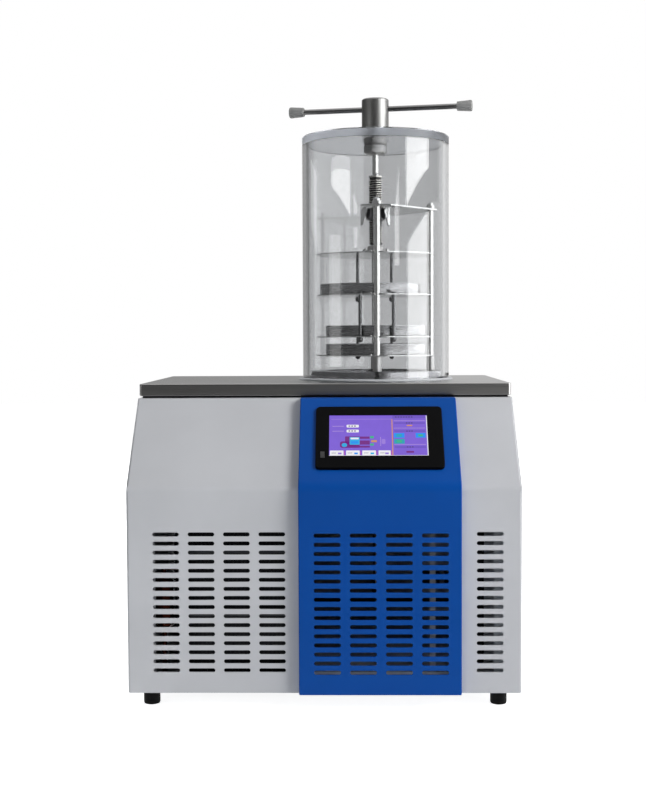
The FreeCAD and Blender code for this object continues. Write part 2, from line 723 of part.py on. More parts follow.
def vacuum_port():
    """Vacuum tube from the trap wall out through the rear, ending in a DN25 small flange."""
    start = AXIS_Y + MOUTH_R + TRAP_WALL
    length = BACK_Y + REAR_REACH - start
    profile = [(0, 0), (14, 0), (14, length - 5), (20, length - 3), (20, length), (0, length)]
    centre = V(AXIS_X, start, up(VACUUM_H))
    y_axis = V(0, 1, 0)
    port = turned_along(profile, centre, y_axis, PLAIN_SIDES)
    recess = turned_along([(0, length - 3), (13.1, length - 3), (13.1, length + 5), (0, length + 5)], centre,
                          y_axis, PLAIN_SIDES)
    bore = Part.makeCylinder(PORT_BORE, length + 10, centre - y_axis * 5, y_axis)
    return port.cut(bore).cut(recess)


def drain_pipe():
    """Stainless drain from the bucket's floor to the valve at the rear."""
    points = [V(AXIS_X, AXIS_Y, up(TRAP_FLOOR - TRAP_WALL)), V(AXIS_X, AXIS_Y, up(DRAIN_H)),
              V(AXIS_X, BACK_Y - 12, up(DRAIN_H))]
    return bent_pipe(6.0, points, 24.0)


def drain_valve():
    """Ball valve body on the rear panel with a hose spigot."""
    centre = V(AXIS_X, BACK_Y, up(DRAIN_H))
    y_axis = V(0, 1, 0)
    shank = turned_along([(0, -12), (8, -12), (8, 0), (12, 0), (12, 18), (5, 20), (0, 20)], centre, y_axis,
                         SMALL_SIDES)
    spigot = Part.makeCylinder(5, 18, centre + V(0, 20, 0), y_axis)
    neck = prism(5, centre.x, centre.y + 9, centre.z, centre.z + 17, SMALL_SIDES)
    pin = disc(LEVER_PIN_R, centre.x, centre.y + 9, centre.z + 17, centre.z + 23)
    return fuse_all([shank, spigot, neck, pin])


def drain_lever():
    """Lever that turns a quarter turn about the valve's pin."""
    x, y = AXIS_X, BACK_Y + 9
    z = up(DRAIN_H) + 17.3
    eye = prism(7, x, y, z, z + 4, SMALL_SIDES)
    arm = plan_profile([(x, y - 4.5), (x + 38, y - 4.5), (x + 42, y), (x + 38, y + 4.5), (x, y + 4.5)],
                       z, z + 4)
    return fuse_all([eye, arm]).cut(disc(LEVER_PIN_R + RUN_GAP, x, y, z - 5, z + 10))


def power_inlet():
    """Three-pole appliance inlet with a rounded rim."""
    x, y, z = INLET_X, BACK_Y, up(INLET_H)
    rim = box(x - 30, x + 30, y, y + 3, z - 18, z + 18)
    body = box(x - 23.5, x + 23.5, y - 24, y, z - 13.5, z + 13.5)
    cavity = box(x - 15, x + 15, y - 16, y + 5, z - 9, z + 9)
    shell = rim.fuse(body).cut(cavity)
    pins = [box(x + dx - 1, x + dx + 1, y - 17, y - 4, z + dz - 2, z + dz + 2)
            for dx, dz in ((-8, -2), (0, 3), (8, -2))]
    return fuse_all([shell] + pins)


def rocker_trunnion(radius, reach):
    """Round bar through the rocker's pivot."""
    return Part.makeCylinder(radius, 2 * reach, V(SWITCH_X - reach, BACK_Y - 2, up(INLET_H)), V(1, 0, 0))


def rocker_switch():
    """Mains rocker: the key that tips in its frame on two stub pins."""
    x, y, z = SWITCH_X, BACK_Y - 2, up(INLET_H)
    profile = [(y - 4, z - 7.5), (y + 5, z - 8.8), (y + 3.4, z), (y + 5, z + 8.8), (y - 4, z + 7.5)]
    key = side_profile(profile, x - 11, x + 11)
    key.rotate(V(x, y, z), V(1, 0, 0), -ROCKER_THROW / 2)
    return key.fuse(rocker_trunnion(ROCKER_PIN_R, 13)).removeSplitter()


def switch_frame():
    """Frame of the mains switch, snapped into the rear panel."""
    x, y, z = SWITCH_X, BACK_Y, up(INLET_H)
    rim = box(x - 17, x + 17, y, y + 2, z - 13, z + 13)
    body = box(x - 14.5, x + 14.5, y - 20, y, z - 10.8, z + 10.8)
    well = box(x - 11.4, x + 11.4, y - 9, y + 6, z - 10, z + 10)
    return rim.fuse(body).cut(well).cut(rocker_trunnion(ROCKER_PIN_R + RUN_GAP, 13.2)).removeSplitter()


# ---- drying chamber --------------------------------------------------------------------------

def trap_collar():
    """Split ring on the worktop round the mouth; its top ledge carries the rack."""
    z0, z1 = up(PLATE_TOP), up(PLATE_TOP + COLLAR_H)
    whole = ring(COLLAR_R, COLLAR_BORE, AXIS_X, AXIS_Y, z0, z1, LARGE_SIDES)
    split = box(AXIS_X - 3.5, AXIS_X + 3.5, AXIS_Y - COLLAR_R - 5, AXIS_Y - 80, z0 - 5, z1 + 5)
    clearances = [prism(7.5, AXIS_X + side * HANGER_X, AXIS_Y + HANGER_Y, z0 - 5, z1 + 5, SMALL_SIDES)
                  for side in (-1, 1)]
    return whole.cut(Part.makeCompound([split] + clearances))


def chamber_gasket():
    """Silicone seal that the clear tube stands on."""
    inner = TUBE_R - TUBE_WALL - 3
    return ring(GASKET_R, inner, AXIS_X, AXIS_Y, up(PLATE_TOP), up(PLATE_TOP + GASKET_T), LARGE_SIDES)


def chamber_tube():
    """Clear acrylic tube."""
    inner = TUBE_R - TUBE_WALL
    return ring(TUBE_R, inner, AXIS_X, AXIS_Y, up(PLATE_TOP + GASKET_T), up(LID_TOP - LID_T), LARGE_SIDES)


def chamber_lid():
    """Clear lid bonded on the tube, with the hole for the drive gland."""
    z0, z1 = up(LID_TOP - LID_T), up(LID_TOP)
    profile = [(0, z0), (TUBE_R, z0), (TUBE_R, z1 - 2), (TUBE_R - 2, z1), (0, z1)]
    lid = turned(profile, AXIS_X, AXIS_Y, LARGE_SIDES)
    return lid.cut(prism(12, AXIS_X, AXIS_Y, z0 - 5, z1 + 5, PLAIN_SIDES))


def lid_gland():
    """Vacuum gland through the lid, in which the drive rod turns and slides."""
    profile = [(0, up(GLAND_FOOT)), (12, up(GLAND_FOOT)), (12, up(LID_TOP)), (21, up(LID_TOP)),
               (21, up(GLAND_TOP)), (0, up(GLAND_TOP))]
    gland = turned(profile, AXIS_X, AXIS_Y, PLAIN_SIDES)
    return gland.cut(disc(DRIVE_R + RUN_GAP, AXIS_X, AXIS_Y, up(GLAND_FOOT - 5), up(GLAND_TOP + 5)))


def gland_nut():
    """Hexagon nut under the lid, tapered at its lower edge."""
    z1 = up(LID_TOP - LID_T)
    z0 = up(GLAND_FOOT)
    nut = bolt_hexagon(36, AXIS_X, AXIS_Y, z0, z1, 10)
    taper = turned([(0, z0), (16, z0), (21, z0 + 4), (21, z1), (0, z1)], AXIS_X, AXIS_Y, PLAIN_SIDES)
    return nut.common(taper).cut(prism(12, AXIS_X, AXIS_Y, z0 - 5, z1 + 5, PLAIN_SIDES))


# ---- stoppering drive ------------------------------------------------------------------------

def along_bar(distance):
    """Point on the cross bar's axis, measured from the head's centre line."""
    turn = math.radians(BAR_TURN)
    return V(AXIS_X + distance * math.cos(turn), AXIS_Y + distance * math.sin(turn), up(BAR_H))


def bar_direction():
    turn = math.radians(BAR_TURN)
    return V(math.cos(turn), math.sin(turn), 0)


def handle_head():
    """Round head that the cross bar slides through, rounded at its top edge."""
    z0, z1 = up(GLAND_TOP + 0.5), up(HEAD_TOP)
    edge = HEAD_EDGE
    rounding = [(HEAD_R - edge + edge * math.cos(a), z1 - edge + edge * math.sin(a))
                for a in (0, math.pi / 4, math.pi / 2)]
    head = turned([(0, z0), (HEAD_R, z0)] + rounding + [(0, z1)], AXIS_X, AXIS_Y, HEAD_SIDES)
    cross = Part.makeCylinder(BAR_R + RUN_GAP, 80, along_bar(-40), bar_direction())
    return head.cut(cross)


def drive_rod():
    """Rod from the head down into the lead screw: round above, hexagonal where it drives."""
    shoulder = up(SCREW_TOP + 4)
    rod = disc(DRIVE_R, AXIS_X, AXIS_Y, shoulder, up(GLAND_TOP + 0.5))
    key = bolt_hexagon(KEY_AF, AXIS_X, AXIS_Y, up(SCREW_FOOT + 60), shoulder)
    return fuse_all([rod, key])


def handle_bar():
    """Sliding cross bar."""
    length = BAR_SPAN - 8
    return Part.makeCylinder(BAR_R, length, along_bar(BAR_SLID - length / 2), bar_direction())


def grip(end):
    """Tapered plastic grip pushed onto one end of the bar."""
    tip = BAR_SPAN / 2
    way = bar_direction() * end
    profile = [(0, tip - GRIP_L), (8.2, tip - GRIP_L), (10, tip - 1.6), (8.6, tip), (0, tip)]
    solid = turned_along(profile, along_bar(BAR_SLID), way, GRIP_SIDES)
    return solid.cut(Part.makeCylinder(BAR_R, GRIP_L, along_bar(BAR_SLID) + way * (tip - 4 - GRIP_L), way))


def handle_grips():
    return Part.makeCompound([grip(-1), grip(1)])


def lead_screw():
    """Hollow screw: hexagonal bore above for the drive rod, journal and foot below."""
    profile = [(0, up(PRESS_Z + 2.5)), (JOURNAL_R, up(PRESS_Z + 2.5)), (JOURNAL_R, up(SCREW_FOOT)),
               (SCREW_R, up(SCREW_FOOT)), (SCREW_R, up(SCREW_TOP)), (0, up(SCREW_TOP))]
    screw = turned(profile, AXIS_X, AXIS_Y)
    bore = bolt_hexagon(KEY_AF + 0.2, AXIS_X, AXIS_Y, up(SCREW_FOOT + 15), up(SCREW_TOP + 5))
    return screw.cut(bore)


# ---- stoppering rack -------------------------------------------------------------------------

def rack_posts():
    """Three guide posts, turned down at the top for the bridge."""
    z0, shoulder, z1 = up(POST_FOOT), up(BRIDGE_TOP - BRIDGE_T), up(BRIDGE_TOP + 8)
    profile = [(0, z0), (POST_R, z0), (POST_R, shoulder), (STUD_R, shoulder), (STUD_R, z1), (0, z1)]
    return Part.makeCompound([turned(profile, x, y, SMALL_SIDES) for x, y in POST_PLACES])


def post_sleeves():
    """Spacer sleeves that hold the lower shelf above the collar."""
    z0, z1 = up(POST_FOOT), up(SHELF_Z["lower"] - SHELF_T / 2)
    return Part.makeCompound([ring(SLEEVE_R, POST_R, x, y, z0, z1, SMALL_SIDES) for x, y in POST_PLACES])


def cap_nut(across_flats, x, y, z, height, hole):
    """Domed nut standing on z, with a blind hole for its stud."""
    reach = across_flats / math.sqrt(3)
    profile = [(0, z), (reach, z), (reach, z + 0.5 * height), (reach * 0.6, z + 0.85 * height),
               (0, z + height)]
    nut = turned(profile, x, y, 6)
    return nut.cut(prism(hole, x, y, z - 1, z + 0.62 * height, SMALL_SIDES))


def post_nuts():
    """Cap nuts on the three posts, above the bridge."""
    return Part.makeCompound([cap_nut(13, x, y, up(BRIDGE_TOP), 13, STUD_R) for x, y in POST_PLACES])


def rack_bridge():
    """Top bridge: a plate across the posts, and a skirt round the nut, open in front and behind."""
    z1 = up(BRIDGE_TOP)
    z0 = z1 - BRIDGE_T
    half, tip, arm, nip = BRIDGE_HALF, BRIDGE_REACH, BRIDGE_ARM, BRIDGE_NIP
    outline = [(-half, nip - tip), (nip - half, -tip), (half - nip, -tip), (half, nip - tip),
               (tip - nip, -arm), (tip, nip - arm), (tip, arm - nip), (tip - nip, arm),
               (half, tip - nip), (half - nip, tip), (nip - half, tip), (-half, tip - nip)]
    plate = plan_profile([(AXIS_X + x, AXIS_Y + y) for x, y in outline], z0, z1)
    skirt_z = z0 - SKIRT_H
    skirt = ring(SKIRT_R, SKIRT_R - SKIRT_T, AXIS_X, AXIS_Y, skirt_z, z0, PLAIN_SIDES)
    wide, narrow = SKIRT_R - 3, SKIRT_R - 12
    arch = [(-wide, skirt_z - 5), (wide, skirt_z - 5), (narrow, z0), (-narrow, z0)]
    corners = [V(AXIS_X + x, AXIS_Y - 2 * SKIRT_R, z) for x, z in arch]
    arch_tool = Part.Face(Part.makePolygon(corners + corners[:1])).extrude(V(0, 4 * SKIRT_R, 0))
    holes = [prism(STUD_R, x, y, z0 - 5, z1 + 5, SMALL_SIDES) for x, y in POST_PLACES]
    holes.append(prism(SCREW_R + 0.7, AXIS_X, AXIS_Y, z0 - 5, z1 + 5, PLAIN_SIDES))
    return fuse_all([plate, skirt.cut(arch_tool)]).cut(Part.makeCompound(holes))


def bridge_nut():
    """Round nut under the bridge that the lead screw climbs in."""
    z1 = up(BRIDGE_TOP - BRIDGE_T)
    z0 = z1 - NUT_H
    profile = [(0, z0), (NUT_R - NUT_EDGE, z0), (NUT_R, z0 + NUT_EDGE), (NUT_R, z1), (0, z1)]
    nut = turned(profile, AXIS_X, AXIS_Y, PLAIN_SIDES)
    return nut.cut(disc(SCREW_R + RUN_GAP, AXIS_X, AXIS_Y, z0 - 5, z1 + 5))


def shelf_blank(height):
    z = up(height)
    return prism(SHELF_R, AXIS_X, AXIS_Y, z - SHELF_T / 2, z + SHELF_T / 2, LARGE_SIDES)


def guide_notches(height):
    """Open notches in a shelf's rim that run on the three posts."""
    z = up(height)
    gap = POST_R + 0.5
    tools = []
    for x, y in POST_PLACES:
        outward = V(x - AXIS_X, y - AXIS_Y, 0).normalize()
        across = V(-outward.y, outward.x, 0)
        root = [(20, -gap), (0, -gap), (-gap * 0.7, -gap * 0.7), (-gap, 0), (-gap * 0.7, gap * 0.7),
                (0, gap), (20, gap)]
        points = [V(x, y, 0) + outward * u + across * v for u, v in root]
        tools.append(plan_profile([(point.x, point.y) for point in points], z - 5, z + 5))
    return Part.makeCompound(tools)


def hanger_places(front):
    if front:
        return [(AXIS_X + side * HANGER_FRONT_X, AXIS_Y - HANGER_FRONT_Y) for side in (-1, 1)]
    return [(AXIS_X + side * HANGER_X, AXIS_Y + HANGER_Y) for side in (-1, 1)]


def hanger_holes(height, front, radius):
    z = up(height)
    return Part.makeCompound([prism(radius, x, y, z - 5, z + 5, ROD_SIDES) for x, y in hanger_places(front)])


def press_plate():
    """Top shelf, which the screw pushes down."""
    plate = shelf_blank(PRESS_Z).cut(guide_notches(PRESS_Z))
    return plate.cut(hanger_holes(PRESS_Z, False, ROD_R))


def shelf_upper():
    height = SHELF_Z["upper"]
    shelf = shelf_blank(height).cut(guide_notches(height))
    return shelf.cut(hanger_holes(height, False, ROD_R + 0.5)).cut(hanger_holes(height, True, ROD_R))


def shelf_middle():
    height = SHELF_Z["middle"]
    shelf = shelf_blank(height).cut(guide_notches(height))
    return shelf.cut(hanger_holes(height, True, ROD_R + 0.5)).cut(hanger_holes(height, False, ROD_R))


def shelf_lower():
    """Fixed lower shelf, which rests on the spacer sleeves."""
    height = SHELF_Z["lower"]
    z = up(height)
    posts = [prism(POST_R, x, y, z - 5, z + 5, SMALL_SIDES) for x, y in POST_PLACES]
    return shelf_blank(height).cut(Part.makeCompound(posts)).cut(hanger_holes(height, False, ROD_R + 0.5))


def hanger_bolts(upper, lower, front):
    """Two rods that hang the lower shelf from the upper one, each with a domed foot."""
    z_top = up(upper) + SHELF_T / 2 + 3
    z_low = up(lower) - SHELF_T / 2 - 0.3
    head = ROD_R + 2
    foot = z_low - 4
    profile = [(0, z_low - 8), (5, foot), (5, z_low), (ROD_R, z_low), (ROD_R, z_top - 3), (head, z_top - 3),
               (head, z_top), (0, z_top)]
    return Part.makeCompound([turned(profile, x, y, ROD_SIDES) for x, y in hanger_places(front)])


def hanger_bolts_upper():
    return hanger_bolts(PRESS_Z, SHELF_Z["upper"], False)


def hanger_bolts_middle():
    return hanger_bolts(SHELF_Z["upper"], SHELF_Z["middle"], True)


def hanger_bolts_lower():
    return hanger_bolts(SHELF_Z["middle"], SHELF_Z["lower"], False)


def swivel_bearing():
    """Flanged bearing on the press plate in which the screw's journal turns."""
    z0 = up(PRESS_Z + SHELF_T / 2)
    top = up(SCREW_FOOT) - 1.5
    profile = [(0, z0), (25, z0), (25, z0 + 3), (15, z0 + 3), (15, z0 + 13), (13, top), (0, top)]
    body = turned(profile, AXIS_X, AXIS_Y, PLAIN_SIDES)
    return body.cut(disc(JOURNAL_R + RUN_GAP, AXIS_X, AXIS_Y, z0 + 1.4, top + 5))


def bearing_nuts():
    """Cap nuts that hold the bearing's flange to the press plate."""
    z = up(PRESS_Z + SHELF_T / 2) + 3
    return Part.makeCompound([cap_nut(8, AXIS_X + side * 19.6, AXIS_Y, z, 8, 1.5) for side in (-1, 1)])


def tray(level):
    """Round product tray standing on a shelf."""
    x = AXIS_X + TRAY_SHIFT[level]
    z0 = up(SHELF_Z[level]) + SHELF_T / 2
    z1 = z0 + TRAY_H
    inner = TRAY_R - TRAY_T
    profile = [(0, z0), (TRAY_R, z0), (TRAY_R, z1), (inner, z1), (inner, z0 + TRAY_T), (0, z0 + TRAY_T)]
    return turned(profile, x, AXIS_Y, LARGE_SIDES)


def tray_upper():
    return tray("upper")


def tray_middle():
    return tray("middle")


def tray_lower():
    return tray("lower")


# ---- files -----------------------------------------------------------------------------------

PIECES = [
    base_pan, feet, frame, left_cover, right_cover, front_panel, rear_panel, top_plate, plate_gasket,
    hmi_bezel, hmi_screen, usb_cover, condenser_frame, condenser, fan_shroud, fan_motor, fan_rotor,
    compressor, compressor_mounts, discharge_pipe, suction_pipe, filter_drier, electrical_box,
    cold_trap, trap_insulation, vacuum_port, drain_pipe, drain_valve, drain_lever, power_inlet,
    switch_frame, rocker_switch, chamber_gasket, trap_collar, chamber_tube, chamber_lid, lid_gland,
    gland_nut, handle_head, drive_rod, handle_bar, handle_grips, lead_screw, rack_bridge,
    bridge_nut, rack_posts, post_nuts, post_sleeves, press_plate, swivel_bearing, bearing_nuts,
    shelf_upper, shelf_middle, shelf_lower, hanger_bolts_upper, hanger_bolts_middle,
    hanger_bolts_lower, tray_upper, tray_middle, tray_lower,
]

os.makedirs("parts", exist_ok=True)
for piece in PIECES:
    piece().exportStep("parts/" + piece.__name__ + ".step")
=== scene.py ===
"""Looks of the bench-top freeze dryer: its finished pieces, materials, studio light and camera."""
import json
import math

import bmesh
import bpy
from mathutils import Matrix, Vector


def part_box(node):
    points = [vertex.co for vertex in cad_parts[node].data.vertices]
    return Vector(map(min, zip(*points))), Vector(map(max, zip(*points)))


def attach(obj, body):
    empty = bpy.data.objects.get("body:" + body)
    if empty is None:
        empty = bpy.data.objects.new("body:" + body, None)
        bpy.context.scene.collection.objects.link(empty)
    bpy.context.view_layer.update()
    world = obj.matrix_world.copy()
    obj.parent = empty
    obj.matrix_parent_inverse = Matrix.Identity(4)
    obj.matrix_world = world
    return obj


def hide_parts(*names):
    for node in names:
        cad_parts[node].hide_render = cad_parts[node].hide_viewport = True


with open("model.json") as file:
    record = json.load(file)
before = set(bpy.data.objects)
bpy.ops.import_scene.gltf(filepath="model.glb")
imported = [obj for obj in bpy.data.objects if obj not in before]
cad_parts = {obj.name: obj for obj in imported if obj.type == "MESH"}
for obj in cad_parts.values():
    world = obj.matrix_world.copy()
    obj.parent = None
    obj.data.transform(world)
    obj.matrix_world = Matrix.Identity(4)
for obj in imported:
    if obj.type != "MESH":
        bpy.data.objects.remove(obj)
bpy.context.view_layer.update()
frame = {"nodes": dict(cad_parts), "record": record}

MM = 0.001

# ---- driving dimensions, in millimetres ----

FOOT_H = 25.0
CASE_W = 609.0
CASE_H = 451.2
BEND_H = 317.7
BEND_R = 12.0
SLOPE_RUN = 126.4
SHEET = 1.5
CORNER_R = 4.0
PANEL_PROUD = 15.0
PANEL_TOP = 452.2
PANEL_SHIFT = -1.8
SLOT_L = 41.2
SLOT_H = 6.4
SLOT_PITCH = 14.12
SLOT_TOP = 247.2
SLOT_ROWS = 16
LEFT_COLUMNS = [-80.1 - 54.7 * k for k in range(4)]
PANEL_COLUMN_PITCH = 55.2
RIGHT_COLUMNS = [255.8]
LEDGE_D = 172.0
FOOT_R = 13.0
SCREEN_W = 154.3
SCREEN_H = 82.4
MOUTH_R = 100.0
SCREW_PITCH = 4.0
SCREW_R = 12.5
SCREW_SHOULDER = 713.0
THREAD_DEPTH = 2.2
ROD_R = 5.3
ROD_FOOT = 839.0
BAR_R = 4.75
GLAND_R = 12.0
POST_R = 5.5
POST_RING = 98.0
POST_SHOULDER = 772.5
BAR_SPAN = 328.0
SHARP = 32.0  # degrees: edges steeper than this stay sharp

# ---- places read from the frame ----


def span(node):
    """Lowest and highest corner of a node, in millimetres."""
    low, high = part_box(node)
    return low / MM, high / MM


TUBE_LOW, TUBE_HIGH = span("chamber_tube")
AXIS_X = (TUBE_LOW.x + TUBE_HIGH.x) / 2
AXIS_Y = (TUBE_LOW.y + TUBE_HIGH.y) / 2
PANEL_LOW, PANEL_HIGH = span("front_panel")
PANEL_MIDDLE = (PANEL_LOW.x + PANEL_HIGH.x) / 2 - PANEL_SHIFT
FRONT_Y = PANEL_LOW.y + PANEL_PROUD
BACK_Y = span("rear_panel")[1].y
PLATE_LOW, PLATE_HIGH = span("top_plate")
SLOPE = math.atan2(CASE_H - BEND_H, SLOPE_RUN)
HALF_W = CASE_W / 2


def up(height):
    """Height above the casing's lower edge, as a height above the floor."""
    return FOOT_H + height


# ---- shader wiring ----

class Wire:
    """An output socket that takes part in sums and comparisons."""

    def __init__(self, net, socket):
        self.net = net
        self.socket = socket

    def __add__(self, other):
        return self.net.sum("ADD", self, other)

    def __mul__(self, other):
        return self.net.sum("MULTIPLY", self, other)

    def __gt__(self, other):
        return self.net.sum("GREATER_THAN", self, other)


class Net:
    """The node tree of a material or of the world."""

    def __init__(self, owner):
        owner.use_nodes = True
        self.tree = owner.node_tree
        self.tree.nodes.clear()

    def node(self, kind, settings=(), out=0, **values):
        """Adds a node, and returns its output named or numbered by out."""
        made = self.tree.nodes.new("ShaderNode" + kind)
        for key, value in dict(settings).items():
            setattr(made, key, value)
        for key, value in values.items():
            key = int(key[1:]) if key[0] == "_" else key.replace("_", " ")
            self.feed(made.inputs[key], value)
        return Wire(self, made.outputs[out]) if made.outputs else None

    def feed(self, socket, value):
        """Links a wire to an input, or sets the input's value."""
        if isinstance(value, Wire):
            self.tree.links.new(value.socket, socket)
        elif socket.type == "RGBA" and len(value) == 3:
            socket.default_value = (*value, 1)
        else:
            socket.default_value = value

    def sum(self, operation, first, second):
        """One step of reckoning with two numbers or wires."""
        return self.node("Math", {"operation": operation}, _0=first, _1=second)

    def blend(self, factor, first, second):
        """Mixes two colours."""
        made = self.tree.nodes.new("ShaderNodeMix")
        made.data_type = "RGBA"
        made.clamp_factor = True
        self.feed(made.inputs[0], factor)
        self.feed(made.inputs[6], first)
        self.feed(made.inputs[7], second)
        return Wire(self, made.outputs[2])

    def ramp(self, factor, stops):
        """Colour ramp from (place, grey level) stops."""
        made = self.tree.nodes.new("ShaderNodeValToRGB")
        marks = made.color_ramp.elements
        while len(marks) < len(stops):
            marks.new(0.5)
        for mark, (place, level) in zip(marks, stops):
            mark.position = place
            mark.color = (level, level, level, 1)
        self.feed(made.inputs[0], factor)
        return Wire(self, made.outputs[0])

    def split(self, vector):
        """The three parts of a vector."""
        made = self.tree.nodes.new("ShaderNodeSeparateXYZ")
        self.feed(made.inputs[0], vector)
        return [Wire(self, made.outputs[k]) for k in range(3)]

    def object_point(self, stretch=(1, 1, 1), centre=(0, 0, 0)):
        """Object coordinates, moved to a centre and stretched."""
        point = self.node("TexCoord", out="Object")
        shift = tuple(-c * s for c, s in zip(centre, stretch))
        return self.node("Mapping", Vector=point, Location=shift, Scale=stretch)

    def noise(self, vector, scale, detail):
        return self.node("TexNoise", out="Fac", Vector=vector, Scale=scale, Detail=detail)

    def bump(self, height, strength, distance):
        return self.node("Bump", Height=height, Strength=strength, Distance=distance)


def srgb(red, green, blue):
    """A colour from 0 to 255 as linear light."""
    def linear(level):
        level = level / 255
        return level / 12.92 if level <= 0.04045 else ((level + 0.055) / 1.055) ** 2.4
    return (linear(red), linear(green), linear(blue))


def surface(name, **values):
    """A material with one principled shader."""
    material = bpy.data.materials.new(name)
    net = Net(material)
    values = {key: value(net) if callable(value) else value for key, value in values.items()}
    shader = net.node("BsdfPrincipled", **values)
    net.node("OutputMaterial", Surface=shader)
    return material


def tinted(colour, share, scale):
    """A colour that drifts a little lighter and darker over the surface."""
    dark = tuple(c * (1 - share) for c in colour)
    light = tuple(min(1, c * (1 + share)) for c in colour)

    def wired(net):
        cloud = net.noise(net.object_point(), scale, 3.0)
        return net.blend(net.ramp(cloud, [(0.35, 0.0), (0.65, 1.0)]), dark, light)
    return wired


def between(low, high, scale):
    """A number that drifts between two levels over the surface."""
    def wired(net):
        cloud = net.noise(net.object_point(), scale, 3.0)
        return cloud * (high - low) + low
    return wired


def grained(scale, strength, distance=0.0002):
    """Fine bumps, for a normal."""
    def wired(net):
        return net.bump(net.noise(net.object_point(), scale, 4.0), strength, distance)
    return wired


def powder_coat(name, colour, shine):
    """Painted sheet with a fine orange-peel grain."""
    return surface(name, Base_Color=tinted(colour, 0.03, 7.0), Roughness=between(0.36, 0.46, 30.0),
                   Specular_IOR_Level=shine, Normal=grained(1400.0, 0.18, 0.00015))


def brushed(name, colour, rough, stretch):
    """Metal with fine lines drawn out across the stretched axes."""
    def lines(net):
        return net.noise(net.object_point(stretch), 1.0, 5.0)

    def shade(net):
        dark = tuple(c * 0.86 for c in colour)
        return net.blend(net.ramp(lines(net), [(0.3, 0.0), (0.7, 1.0)]), dark, colour)

    return surface(name, Base_Color=shade, Metallic=1.0,
                   Roughness=lambda net: lines(net) * 0.16 + (rough - 0.08),
                   Normal=lambda net: net.bump(lines(net), 0.12, 0.0001))


def plain(name, colour, rough, metal=0.0, grain=900.0, strength=0.08, shine=0.5):
    """Plastic, rubber, paint or undirected metal, with slight drift and grain."""
    return surface(name, Base_Color=tinted(colour, 0.05, 25.0), Metallic=metal, Specular_IOR_Level=shine,
                   Roughness=between(rough * 0.85, min(1.0, rough * 1.15), 60.0),
                   Normal=grained(grain, strength))


def threaded(name, crest, rough):
    """Turned steel, with painted shade darkening the roots of its thread."""
    def shade(net):
        x, y = net.split(net.object_point(centre=(AXIS_X * MM, AXIS_Y * MM, 0)))[:2]
        squared = (x * x + y * y) * (SCREW_R * MM) ** -2
        # painted shade: nearer the axis, in the roots of the thread, the colour falls to a tenth of the
        # crest's
        return net.blend(net.ramp(squared, [(0.74, 0.0), (0.94, 1.0)]), tuple(c * 0.1 for c in crest), crest)

    return surface(name, Base_Color=shade, Metallic=1.0, Roughness=between(rough * 0.8, rough * 1.2, 60.0),
                   Normal=grained(300.0, 0.02))


def acrylic(name, colour):
    """Clear polished plastic."""
    return surface(name, Base_Color=colour, Transmission_Weight=1.0, IOR=1.49,
                   Roughness=0.0, Specular_IOR_Level=0.5)


WHITE_COAT = powder_coat("white_coat", srgb(206, 207, 211), 0.35)
BLUE_COAT = powder_coat("blue_coat", srgb(4, 76, 162), 0.16)
WORKTOP = brushed("worktop_steel", srgb(168, 167, 166), 0.30, (6, 900, 900))
TURNED = brushed("turned_steel", srgb(190, 189, 188), 0.33, (20, 20, 2600))
ROD_STEEL = brushed("rod_steel", srgb(228, 227, 225), 0.14, (900, 900, 60))
BAR_STEEL = plain("bar_steel", srgb(128, 128, 128), 0.30, 1.0, 300.0, 0.02)
SHEET_STEEL = brushed("sheet_steel", srgb(220, 220, 219), 0.20, (20, 700, 700))
GLAND_STEEL = brushed("gland_steel", srgb(158, 157, 155), 0.30, (20, 20, 2600))
HEAD_STEEL = brushed("head_steel", srgb(148, 148, 147), 0.44, (20, 20, 2600))
SCREW_STEEL = threaded("screw_steel", srgb(208, 205, 200), 0.26)
TRAY_STEEL = brushed("tray_steel", srgb(180, 180, 181), 0.26, (30, 30, 1400))
COLLAR_STEEL = brushed("collar_steel", srgb(164, 164, 166), 0.24, (8, 8, 1400))
DARK_STEEL = plain("dark_steel", srgb(112, 112, 113), 0.18, 1.0, 300.0, 0.02)
BRIGHT_STEEL = plain("bright_steel", srgb(220, 219, 218), 0.08, 1.0, 300.0, 0.02)
BRONZE = plain("bronze", srgb(150, 122, 76), 0.3, 1.0)
NUT_STEEL = plain("nut_steel", srgb(100, 100, 101), 0.3, 1.0)
ACRYLIC = acrylic("acrylic", srgb(212, 213, 214))
LID_ACRYLIC = acrylic("lid_acrylic", srgb(216, 218, 222))
LID_EDGE = surface("lid_edge", Base_Color=srgb(198, 202, 210), Transmission_Weight=1.0, IOR=1.49,
                   Roughness=between(0.40, 0.50, 30.0))
SEAL = plain("seal", srgb(206, 208, 212), 0.42)
RUBBER = plain("rubber", srgb(9, 9, 10), 0.62, shine=0.1)
# near-black gasket under the worktop: its black is partly the rubber's own colour and partly painted shadow
# of the gap under the overhanging plate
GASKET_GAP_SHADOW = plain("gasket_gap_shadow", srgb(8, 8, 9), 0.8)
BEZEL = plain("bezel_plastic", srgb(4, 4, 5), 0.5, 0.0, 2200.0, 0.10, shine=0.05)
INLET = plain("inlet_plastic", srgb(16, 16, 17), 0.45, 0.0, 2200.0, 0.10)
GRIP = plain("grip_plastic", srgb(148, 148, 147), 0.48, 0.0, 1500.0, 0.12)
ROCKER = plain("rocker_plastic", srgb(26, 26, 28), 0.22)
FLAP = plain("flap_rubber", srgb(14, 14, 16), 0.25)
DARK_PAINT = plain("dark_paint", srgb(70, 72, 76), 0.5)
CAN_PAINT = plain("can_paint", srgb(24, 24, 26), 0.3)
